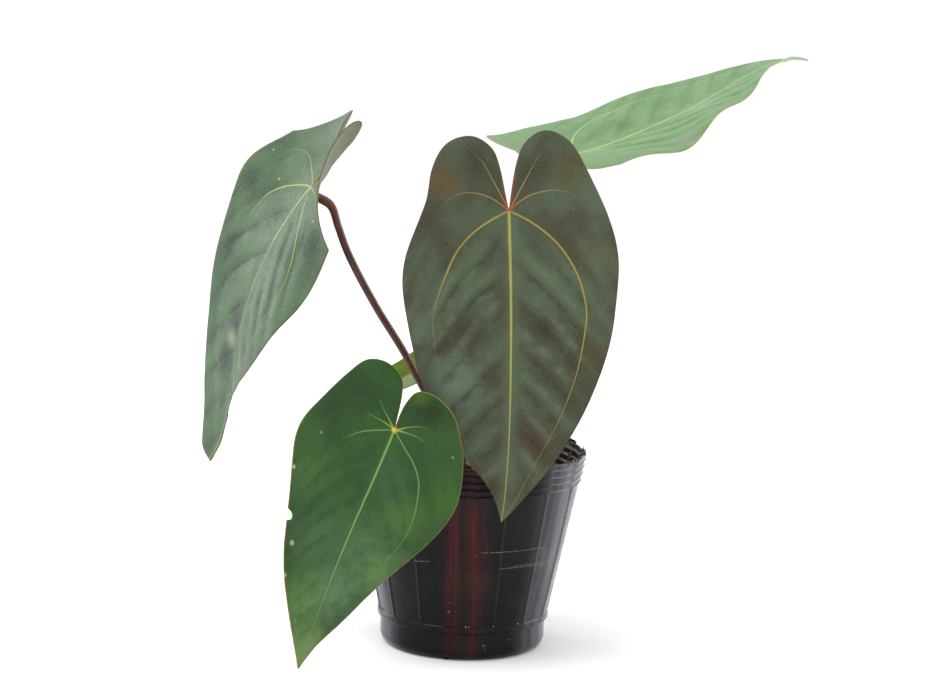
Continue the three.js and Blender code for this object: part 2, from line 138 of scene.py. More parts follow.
def squash(places):
    """The pot's mouth is a little narrower from side to side, by a share that grows as height squared."""
    amount = SQUASH * (places[..., 2] / POT_HEIGHT) ** 2
    return places * np.stack([1 - amount, 1 + amount, np.ones_like(amount)], -1)


def pot_outline():
    """The wall cut through from the floor's underside, out and up to the rim, and down the inside."""
    outside = [(DRAIN_BAND[1], 0), (BASE_RADIUS - BASE_CORNER, 0)]
    bend = np.radians([15, 35, 55, 75, 90])
    corner = BASE_RADIUS - BASE_CORNER * (1 - np.sin(bend)), BASE_CORNER * (1 - np.cos(bend))
    outside += list(zip(*corner))
    outside += [(BASE_RADIUS, LEDGE_BOTTOM - 0.5), (LEDGE_RADIUS, LEDGE_BOTTOM + 0.2)]
    outside += [(LEDGE_RADIUS, LEDGE_TOP), (WALL_FOOT, LEDGE_TOP + 0.5)]
    inside = []
    for hoop in range(HOOP_COUNT):
        z = HOOP_START + hoop * HOOP_RISE
        radius = HOOP_START_RADIUS + hoop * HOOP_STEP
        outside += [(radius - 0.1, z), (radius + HOOP_STEP + 0.3, z + 0.35), (radius + HOOP_STEP, z + 0.95)]
        inside += [(radius - POT_WALL, z + 0.2), (radius + HOOP_STEP - POT_WALL, z + 0.8)]
    outside += [(RIM_RADIUS - 0.1, POT_HEIGHT - 0.5), (RIM_RADIUS - 0.2, POT_HEIGHT)]
    inside += [(RIM_RADIUS - POT_WALL + 0.1, POT_HEIGHT)]
    foot = [
        (WALL_FOOT - POT_WALL, LEDGE_TOP), (BASE_RADIUS - POT_WALL, LEDGE_BOTTOM),
        (BASE_RADIUS - POT_WALL, BASE_CORNER), (BASE_RADIUS - BASE_CORNER, POT_FLOOR),
        (DRAIN_BAND[1], POT_FLOOR),
    ]
    return stretched(rounded(outside + inside[::-1] + foot, 0.35), 2.2)


def swells(x, y, pitch, seed):
    """Random heights on a square lattice, blended smoothly between its corners, from -1 to 1."""
    table = np.random.default_rng(seed).uniform(-1, 1, (64, 64))
    column, row = np.floor(x / pitch).astype(int), np.floor(y / pitch).astype(int)
    u, v = x / pitch - column, y / pitch - row
    u, v = u * u * (3 - 2 * u), v * v * (3 - 2 * v)
    corner = [table[(row + b) % 64, (column + a) % 64] for b in (0, 1) for a in (0, 1)]
    return (corner[0] * (1 - u) + corner[1] * u) * (1 - v) + (corner[2] * (1 - u) + corner[3] * u) * v


def pot_wall():
    """Carries the outline round the axis. Columns crowd at each rib above the ledge and are even at the
    floor. The outer skin swells by the rib's height over its half width, and slow dents bend it all."""
    outline = pot_outline()
    even = FIRST_RIB + np.arange(POT_COLUMNS) * 360 / POT_COLUMNS
    at_rib = np.array([-1.2, -0.8, -0.55, -0.3, 0, 0.3, 0.55, 0.8, 1.2])
    pitch = 360 / RIB_COUNT
    between = np.linspace(1.2, pitch - 1.2, POT_COLUMNS // RIB_COUNT - len(at_rib) + 2)[1:-1]
    crowded = (FIRST_RIB + pitch * np.arange(RIB_COUNT)[:, None] + np.append(at_rib, between)).ravel()
    crowded = np.sort(crowded)
    even += crowded[0] - even[0]
    radius, z = outline[:, :1], outline[:, 1:]
    up = unit((z - 5) / 8)
    degrees = even + (crowded - even) * up
    off_rib = (degrees - FIRST_RIB + pitch / 2) % pitch - pitch / 2
    profile = unit(1.6 - np.abs(np.radians(off_rib)) * radius / RIB_HALF_WIDTH)
    top_row = np.argmax(z)
    outer = (np.arange(len(outline)) <= top_row)[:, None]
    on_wall = outer & (z > LEDGE_TOP + 0.4) & (z < HOOP_START + 0.1)
    turn = np.radians(degrees)
    height = z / POT_HEIGHT
    dents = 0.35 * height * (np.sin(3 * turn + 1.1) * np.cos(5 * height + 0.4)
                             + 0.6 * np.sin(7 * turn + 4 * height) + 0.35 * np.sin(13 * turn - 7 * height))
    in_hoops = unit((z - HOOP_START + 4) / 6)
    wavy = in_hoops * (0.22 * np.sin(9 * turn + 0.7) + 0.16 * np.sin(23 * turn + 2) + 0.1 * np.sin(41 * turn))
    rim = unit((z - POT_HEIGHT + 1.2) / 1.2)
    torn = swells(turn * 9, 0 * turn, 1, 21) + 0.6 * swells(turn * 23, 0 * turn, 1, 22)
    wavy = wavy + 0.3 * rim * torn
    places = around(radius + RIB_PROUD * profile * on_wall + dents, z + wavy, degrees)
    feet = around(FOOT_CIRCLE, 0, FIRST_FOOT + 90 * np.arange(4))
    near = np.hypot(*(places[..., None, :2] - feet[:, :2]).transpose(3, 0, 1, 2)).min(-1)
    standing = outer & (z < BASE_CORNER)
    places[..., 2] *= np.where(standing, np.clip((near - FOOT_RADIUS) / 0.5 + 0.5, 0.05, 1), 1)
    return places, even


def drained_floor(edge_degrees, z):
    """The floor with its holes. In each eighth, rings blend from the hole's circle to the sector's edge,
    and plain circles close the middle."""
    low, high = DRAIN_BAND
    per = POT_COLUMNS // DRAIN_COUNT
    places, faces = [], []
    start = np.argmin(np.abs(edge_degrees + 180 / DRAIN_COUNT))
    side = np.linspace(0, 1, 7)[1:-1]
    for sector in range(DRAIN_COUNT):
        columns = np.arange(start + sector * per, start + (sector + 1) * per + 1)
        turn = edge_degrees[columns % POT_COLUMNS] + 360 * (columns // POT_COLUMNS)
        edge = np.concatenate([
            around(high, z, turn), around(high + (low - high) * side, z, turn[-1]),
            around(low, z, turn[::-1]), around(low + (high - low) * side, z, turn[0]),
        ])
        middle = around(DRAIN_CIRCLE, z, sector * 360 / DRAIN_COUNT)
        reach = edge - middle
        hole = middle + reach * DRAIN_RADIUS / np.linalg.norm(reach, axis=1, keepdims=True)
        rings = hole + (edge - hole) * np.linspace(0, 1, 5)[:, None, None]
        faces.append(ring_faces(*rings.shape[:2], sum(map(len, places))))
        places.append(rings.reshape(-1, 3))
    disc = around(np.array([low, 12, 7, 3, 0.01])[:, None], z, edge_degrees)
    faces.append(ring_faces(*disc.shape[:2], sum(map(len, places)))[:, ::-1])
    places.append(disc.reshape(-1, 3))
    return np.concatenate(places), np.concatenate(faces)


def welded(mesh, gap=0.004):
    """Joins corners that lie together and turns every face outwards."""
    work = bmesh.new()
    work.from_mesh(mesh)
    bmesh.ops.remove_doubles(work, verts=work.verts, dist=gap * MM)
    bmesh.ops.recalc_face_normals(work, faces=work.faces)
    work.to_mesh(mesh)
    work.free()
    mesh.shade_smooth()


def torn_bits(rng):
    """Slivers that stand on the rim, each a thin four-cornered blade on a wider root: low ones all round,
    in clusters where the sheet was torn, and tall ones at 106 to 128 degrees. One spike leans outwards."""
    clusters = rng.uniform(0, 360, 16)
    low = rng.choice(clusters, 90) + rng.normal(0, 5, 90)
    degrees = np.concatenate([low, rng.normal(117, 6, 26), [96]])
    tall = np.concatenate([0.15 + 0.5 * rng.random(90) ** 2, rng.uniform(0.4, 1.6, 26), [1.1]])
    wide = rng.uniform(0.25, 1.6, len(degrees)) * np.where(tall > 0.6, 0.5, 1)
    lean = np.append(rng.normal(0, 0.3, len(degrees) - 1), 1.4)
    places, faces = [], []
    for turn, up, half, out in zip(degrees, tall, wide, lean):
        top, drift = half * rng.uniform(0.1, 0.7), rng.normal(0, 0.4)
        root = [(-half, -0.25, -0.8), (half, -0.25, -0.8), (half, 0.25, -0.8), (-half, 0.25, -0.8)]
        tip = [(drift - top, out * up - 0.07, up), (drift + top, out * up - 0.07, up * 0.75),
               (drift + top, out * up + 0.07, up * 0.75), (drift - top, out * up + 0.07, up)]
        local = np.array(root + tip)
        radius = RIM_RADIUS - POT_WALL / 2 + local[:, 1]
        start = 8 * len(places)
        places.append(around(radius, POT_HEIGHT + local[:, 2], turn + np.degrees(local[:, 0] / RIM_RADIUS)))
        sides = [(0, 1, 5, 4), (1, 2, 6, 5), (2, 3, 7, 6), (3, 0, 4, 7), (4, 5, 6, 7), (3, 2, 1, 0)]
        faces += [[start + n for n in side] for side in sides]
    return np.concatenate(places), faces


def pot_mesh():
    """Wall, both skins of the floor and the eight hole walls, in one list of corners and one of faces."""
    wall, even = pot_wall()
    places, faces = [wall.reshape(-1, 3)], ring_faces(*wall.shape[:2]).tolist()
    count = len(places[0])
    skins = [drained_floor(even, z) for z in (0, POT_FLOOR)]
    for skin, order in zip(skins, (1, -1)):
        places.append(skin[0])
        faces += (skin[1][:, ::order] + count).tolist()
        count += len(skin[0])
    first = len(places[0])
    holes = 2 * (POT_COLUMNS // DRAIN_COUNT + 1) + 10
    for sector in range(DRAIN_COUNT):
        ring = first + sector * holes * 5 + np.arange(holes)
        both = np.stack([np.append(ring, ring[0]), np.append(ring, ring[0]) + len(skins[0][0])])
        faces += grid_faces(both).tolist()
    return np.concatenate(places), faces


class Output:
    """What a node of a material gives out. A sign between two of them adds the Math node that works it
    out, and | keeps the larger of two masks."""

    def __init__(self, socket):
        self.socket, self.tree = socket, socket.id_data

    def math(self, operation, *others):
        made = add_node(self.tree, "Math", {"operation": operation})
        for socket, value in zip(made.inputs, (self, *others)):
            fill(socket, value)
        return Output(made.outputs[0])

    def __add__(self, other):
        return self.math("ADD", other)

    def __sub__(self, other):
        return self.math("SUBTRACT", other)

    def __mul__(self, other):
        return self.math("MULTIPLY", other)

    def __truediv__(self, other):
        return self.math("DIVIDE", other)

    def __or__(self, other):
        return self.math("MAXIMUM", other)

    def __abs__(self):
        return self.math("ABSOLUTE")

    __radd__, __rmul__, __ror__ = __add__, __mul__, __or__


def linear(code):
    """An sRGB colour written as six hexadecimal digits, in the linear numbers that a shader reads."""
    share = np.array([int(code[n:n + 2], 16) for n in (0, 2, 4)]) / 255
    return (*np.where(share < 0.04045, share / 12.92, ((share + 0.055) / 1.055) ** 2.4).tolist(), 1)


def fill(socket, value):
    """Links a socket to what another node gives out, or sets its own number or colour."""
    if isinstance(value, Output):
        value.tree.links.new(value.socket, socket)
    else:
        socket.default_value = linear(value) if isinstance(value, str) else value


def add_node(tree, kind, settings=(), **inputs):
    """Adds a node, applies its settings, and gives each named input its value or its link."""
    made = tree.nodes.new("ShaderNode" + kind)
    for key, value in dict(settings).items():
        setattr(made, key, value)
    for key, value in inputs.items():
        fill(made.inputs[key.replace("_", " ")], value)
    return made


def band(value, low, high, start=0.0, end=1.0):
    """Goes smoothly from start at low to end at high. It falls where low is the larger."""
    made = add_node(value.tree, "MapRange", {"interpolation_type": "SMOOTHSTEP"},
                    Value=value, From_Min=low, From_Max=high, To_Min=start, To_Max=end)
    return Output(made.outputs[0])


def mixed(share, first, second):
    """A colour between first and second."""
    made = add_node(share.tree, "Mix", {"data_type": "RGBA"})
    for index, value in ((0, share), (6, first), (7, second)):
        fill(made.inputs[index], value)
    return Output(made.outputs[2])


def noise(where, scale, detail=2.0, rough=0.5):
    """Noise from 0 to 1 at so many swells a metre, or a unit of the coordinate given."""
    made = add_node(where.tree, "TexNoise", Vector=where, Scale=scale, Detail=detail, Roughness=rough)
    return Output(made.outputs["Fac"])


def read(tree, name, output="Fac"):
    """The numbers that set_attribute keeps on a mesh."""
    return Output(add_node(tree, "Attribute", {"attribute_name": name}).outputs[output])


def parts(place):
    """The three numbers of a place."""
    return [Output(socket) for socket in add_node(place.tree, "SeparateXYZ", Vector=place).outputs]


def flat_place(x, y):
    """A place made of two numbers."""
    return Output(add_node(x.tree, "CombineXYZ", X=x, Y=y).outputs[0])


def new_finish(name):
    """An empty material, its nodes, and its place on the object."""
    finish = bpy.data.materials.new(name)
    finish.use_nodes = True
    tree = finish.node_tree
    return finish, tree, Output(add_node(tree, "TexCoord").outputs["Object"])


def painted(finish, skin, rough, height, distance, strength, **settings):
    """Gives a finish its colour and roughness, a height in metres that raises its shading, and settings
    of the shader by name."""
    tree = finish.node_tree
    shader = tree.nodes["Principled BSDF"]
    bump = add_node(tree, "Bump", Height=height, Distance=distance, Strength=strength)
    settings |= {"Base_Color": skin, "Roughness": rough, "Normal": Output(bump.outputs[0])}
    for key, value in settings.items():
        fill(shader.inputs[key.replace("_", " ")], value)
    return finish


def pot_finish():
    """Black plastic. Down the front the light that comes through the skin is painted as two dull red
    bands, each a smooth step across an angle that widens downwards, and a few lime lines run round it.
    Its sides carry a painted grey sheen, a painted reflection of the bright surround, cloudy in upright
    streaks."""
    finish, tree, place = new_finish("pot_plastic")
    x, y, z = parts(place)
    turn = x.math("ARCTAN2", y * -1.0).math("DEGREES")
    streaky = flat_place(turn, z * 60.0)
    drop = band(z, 0.082, 0.028)
    lit = 0.0
    for top, low, top_half, low_half, strength in RED_BANDS:
        off = abs(turn - (top + drop * (low - top))) / (top_half + drop * (low_half - top_half))
        lit += band(off, 1.6, 0.0).math("POWER", 2.0) * strength
    lit *= band(noise(streaky, 0.22, 4.0, 0.6), 0.34, 0.66, 0.25, 1.1)
    lit = lit * band(z, 0.002, 0.05, 0.45, 1.0) * band(z, 0.068, 0.076, 1.0, 0.3)
    dark = mixed(noise(place, 60.0, 3.0), "020203", "070709")
    # Painted sheen: towards the left and right edges the black turns grey as a painted reflection of the
    # bright surround. It fades towards the back and is broken into upright streaks.
    sides = (band(turn, -44, -70) | band(turn, 34, 62)) * band(abs(turn), 84, 112, 1.0, 0.2)
    side_sheen_streaks = band(noise(streaky, 0.12, 3.0, 0.6), 0.35, 0.7, 0.35, 0.95)
    skin = mixed(lit, mixed(sides * side_sheen_streaks, dark, "5c5d65"), "430a0c")
    scuffs = 0.0
    for height, slope, start, end, width in LIME_LINES:
        mark = band(abs(z - (height + turn * slope)), width * 3, width)
        scuffs |= mark * band(turn, start - 2, start + 2) * band(turn, end + 2, end - 2)
    scuffs *= band(noise(streaky, 1.6, 4.0, 0.7), 0.42, 0.62, 0.0, 0.75)
    haze = band(turn, 38, 50) * band(turn, 74, 62)
    haze *= band(z, 0.036, 0.042) * band(z, 0.052, 0.046)
    dust = band(noise(place, 45.0, 6.0, 0.7), 0.45, 0.75, 0.0, 0.03)
    dust += haze * band(noise(place, 260.0, 5.0, 0.7), 0.4, 0.7, 0.0, 0.16)
    skin = mixed(scuffs, mixed(dust, skin, "8a8470"), "8f8358")
    rough = band(noise(place, 160.0, 4.0), 0.3, 0.7, 0.16, 0.28)
    fine = noise(place, 900.0, 2.0) + noise(streaky, 0.5, 3.0)
    return painted(finish, skin, rough, fine, 0.00012, 0.5, Specular_IOR_Level=0.15)


# Red bands: middle and half width in degrees at the hoops, then low down, and how strong. Lime lines:
# height and its rise a degree, first and last degree, and half width in metres.
RED_BANDS = ((-5.8, -7.0, 4.4, 7.2, 0.75), (3.9, 7.5, 6.4, 9.0, 1.0))
LIME_LINES = (
    (0.0495, 0, 10, 47, 0.00009), (0.0420, 0, 21, 51, 0.0001), (0.0460, 0.00008, -29, -20, 0.00009),
    (0.0428, 0, 30, 50, 0.00006),
)
places, faces = pot_mesh()
pot = new_piece("pot_shell", squash(places), faces)
welded(pot.data)
pot.data.materials.append(pot_finish())
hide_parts("pot")

places, faces = torn_bits(np.random.default_rng(4))
burrs = new_piece("pot_rim_burrs", squash(places), faces)
burrs.data.shade_flat()
burrs.data.materials.append(pot.data.materials[0])


# The potting mix: chopped bark with grit and a little pumice, filled to under the hoops and mounded round
# the stem. The body is one lumpy surface, the chips and crumbs lie on it, and a few crumbs stick to the pot.
MIX_EDGE = 71.5
MIX_MOUND = 4.5
MIX_MOUND_RADIUS = 24
MIX_LUMP = 0.55
MIX_CLEAR = POT_WALL + 0.4


def wall_radius(z):
    """The pot's outside between the ledge and the hoops widens evenly with height."""
    return WALL_FOOT + (HOOP_START_RADIUS - WALL_FOOT) * (z - LEDGE_TOP) / (HOOP_START - LEDGE_TOP)


def mix_height(x, y):
    """A bell-shaped mound and slow lumps."""
    mound = MIX_MOUND * np.exp(-(x * x + y * y) / MIX_MOUND_RADIUS ** 2)
    lumps = np.sin(0.31 * x + 0.8) * np.sin(0.27 * y + 0.4) + np.sin(0.13 * x - 0.22 * y)
    return MIX_EDGE + mound + MIX_LUMP * lumps


def mix_body():
    """The top is a disc of circles lifted by the mound, lumps and two scales of swells. Below its edge the
    rows follow the inside of the pot to a closed foot."""
    turn = np.arange(0, 360, 2)
    edge = wall_radius(MIX_EDGE) - MIX_CLEAR
    top = around(edge * np.linspace(0.002, 1, 76)[:, None], 0, turn)
    x, y = top[..., 0], top[..., 1]
    top[..., 2] = mix_height(x, y) + 0.5 * swells(x, y, 3.1, 1) + 0.3 * swells(x, y, 1.3, 2)
    base, bottom = BASE_RADIUS - MIX_CLEAR, POT_FLOOR + 0.3
    outline = [
        (edge, MIX_EDGE - 3), (wall_radius(LEDGE_TOP) - MIX_CLEAR, LEDGE_TOP), (base, LEDGE_BOTTOM),
        (base, BASE_CORNER), (BASE_RADIUS - BASE_CORNER, bottom), (0.05, bottom),
    ]
    low = np.stack([around(radius, z, turn) for radius, z in outline])
    rows = np.concatenate([top, low])
    return rows.reshape(-1, 3), ring_faces(*rows.shape[:2])


def lumps(centres, sizes, turns, rng, sides=6):
    """One closed lump for each centre: rings of corners on a ball, pushed in and out at random, stretched
    to its size, and turned about the upright axis and a little over."""
    up = np.radians([-90, -35, 10, 50, 90])[:, None]
    turn = np.radians(np.arange(sides) * 360 / sides)
    ball = [np.cos(up) * np.cos(turn), np.cos(up) * np.sin(turn), np.sin(up)]
    ball = np.stack(np.broadcast_arrays(*ball), -1)
    rough = rng.uniform(0.72, 1.2, (len(centres), len(up), sides, 1))
    rough[:, [0, -1]] = rough[:, [0, -1], :1]
    local = ball * rough * np.asarray(sizes)[:, None, None, :]
    tip = rng.normal(0, 0.22, (len(centres), 2))
    local[..., 2] += local[..., 0] * tip[:, 0, None, None] + local[..., 1] * tip[:, 1, None, None]
    turn = np.radians(turns)[:, None, None]
    x = local[..., 0] * np.cos(turn) - local[..., 1] * np.sin(turn)
    y = local[..., 0] * np.sin(turn) + local[..., 1] * np.cos(turn)
    places = np.stack([x, y, local[..., 2]], -1) + np.asarray(centres)[:, None, None, :]
    first = np.arange(len(centres))[:, None, None] * len(up) * sides
    faces = (ring_faces(len(up), sides) + first).reshape(-1, 4)
    return places.reshape(-1, 3), faces


def set_attribute(piece, name, values, kind="FLOAT"):
    """Keeps a number, or three, on each corner of a piece for its material to read."""
    made = piece.data.attributes.new(name, kind, "POINT").data
    made.foreach_set("vector" if kind == "FLOAT_VECTOR" else "value", np.ravel(values).astype(np.float32))


def mix_finish(name, toned):
    """Dark wet bark, dry tan faces and grey grit. On loose chips, each chip's own tone shifts the colour."""
    finish, tree, place = new_finish(name)
    tone = read(tree, "tone") if toned else noise(place, 320.0, 3.0)
    ramp = add_node(tree, "ValToRGB", Fac=tone)
    stops = {0: "1c130d", 0.3: "3a271a", 0.6: "5f4229", 0.82: "86623d", 0.93: "a8937a", 1: "cfc8ba"}
    while len(ramp.color_ramp.elements) < len(stops):
        ramp.color_ramp.elements.new(0.5)
    for stop, (at, code) in zip(ramp.color_ramp.elements, stops.items()):
        stop.position, stop.color = at, linear(code)
    grain = noise(place, 1400.0, 4.0, 0.65)
    skin = mixed(band(grain, 0.35, 0.65, 0.55, 0.0), Output(ramp.outputs[0]), "1a110b")
    return painted(finish, skin, band(grain, 0.3, 0.7, 0.95, 0.7), grain, 0.0005, 0.8)


places, faces = mix_body()
mix = new_piece("potting_mix_body", squash(places), faces)
welded(mix.data)
mix.data.materials.append(mix_finish("damp_mix", False))
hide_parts("potting_mix")

rng = np.random.default_rng(7)
CHIP_COUNT = 620
reach = np.sqrt(rng.uniform(0.03, 0.9, CHIP_COUNT)) * (wall_radius(MIX_EDGE) - MIX_CLEAR)
spread = around(reach, 0, rng.uniform(0, 360, CHIP_COUNT))
chip_long = 0.6 + 3.6 * rng.random(CHIP_COUNT) ** 1.8
chip_long *= np.clip((47.5 - reach) / 4, 0.4, 1)
chip_sizes = chip_long[:, None] * np.stack([
    np.ones(CHIP_COUNT), rng.uniform(0.45, 0.9, CHIP_COUNT), rng.uniform(0.22, 0.55, CHIP_COUNT)], -1)
spread[:, 2] = mix_height(*spread[:, :2].T) + chip_sizes[:, 2] * 0.55
places, faces = lumps(spread, chip_sizes, rng.uniform(0, 360, CHIP_COUNT), rng)
chips = new_piece("bark_chips", squash(places), faces)
per_chip = len(places) // CHIP_COUNT
set_attribute(chips, "tone", np.repeat(rng.random(CHIP_COUNT) ** 1.3, per_chip))
welded(chips.data)
chips.data.shade_flat()
chips.data.materials.append(mix_finish("bark", True))

# Crumbs stuck to the outside of the pot and to the inside of its rim, each given by its angle round the
# pot, its height and its size. They are bits of bark thrown there by watering.
CRUMBS = (
    (49.1, 36.1, 0.75), (56.8, 24.5, 0.6), (39.6, 15.6, 0.5), (20.9, 15.6, 0.5), (2.6, 15.5, 0.7),
    (4.4, 15.6, 0.5), (34.4, 9, 0.35), (15.2, 7, 0.6), (28.5, 1.9, 0.5), (6.5, 48.2, 0.4), (12.5, 51, 0.3),
    (-8, 26.5, 0.4), (-8.6, 22.5, 0.5), (-9.4, 21.6, 0.3), (16, 5.2, 0.3), (44, 10.5, 0.3), (50, 16, 0.3),
    (150, 30, 0.5), (205, 18, 0.6), (240, 44, 0.4), (290, 16, 0.6), (268, 27, 0.4),
)
turn, z, size = np.array(CRUMBS).T
skin_radius = np.where(z > LEDGE_BOTTOM, LEDGE_RADIUS, BASE_RADIUS)
skin_radius = np.where(z > LEDGE_TOP + 0.4, wall_radius(z), skin_radius)
skin_radius = np.where(z < BASE_CORNER, BASE_RADIUS - 1.2, skin_radius)
outside = around(skin_radius + size * 0.25, z, turn)
rim_count = 46
rim_turn = np.append(rng.uniform(44, 84, rim_count - 12), rng.uniform(84, 400, 12))
rim_size = rng.uniform(0.3, 0.95, rim_count)
rim_drop = rng.uniform(0, 3.0, rim_count) * (rng.random(rim_count) < 0.6)
on_rim = around(RIM_RADIUS - POT_WALL / 2 - np.where(rim_drop > 0, POT_WALL / 2 + 0.8 * rim_size, 0),
                POT_HEIGHT - rim_drop + rim_size * 0.35, rim_turn)
centres = np.concatenate([outside, on_rim])
across = np.append(size, rim_size)
crumb_sizes = across[:, None] * rng.uniform([0.7, 0.7, 0.6], [1.2, 1.1, 1.0], (len(centres), 3))
places, faces = lumps(centres, crumb_sizes, rng.uniform(0, 360, len(centres)), rng, 5)
crumbs = new_piece("pot_crumbs", squash(places), faces)
tones = np.append(rng.uniform(0.72, 0.9, len(outside)), rng.uniform(0.35, 0.97, rim_count))
set_attribute(crumbs, "tone", np.repeat(tones, len(places) // len(centres)))
welded(crumbs.data)
crumbs.data.shade_flat()
crumbs.data.materials.append(chips.data.materials[0])


# The leaves: five heart-shaped blades, each bent along its midrib, folded along it, arched across it and
# waved at its edge. A blade is two skins that meet at a thin rim, with sunk veins and quilting above and
# raised ribs below. A point of a blade is given flat, as across and along from the end of the stalk.
BLADE_ABOVE = 0.3
BLADE_BELOW = 0.35
RIM_THIN = 0.14
SINUS_END = 1.7
LOBE_END = 4.6
ROW_LEAN = 1.12
MIDRIB_ROUND = 1.2
STALK_GAP = 0.3
USUAL_LENGTH = 130

# How deep the veins' troughs lie in the upper face, how high the fine ridges along them stand, and how
# high the ribs stand below.
VEIN_TROUGH, LOBE_TROUGH, MIDRIB_TROUGH = 0.32, 0.26, 0.25
VEIN_RIDGE, MIDRIB_RIDGE = 0.22, 0.42
MIDRIB_RIB, VEIN_RIB, LOBE_RIB, SIDE_RIB = 0.95, 0.5, 0.45, 0.22

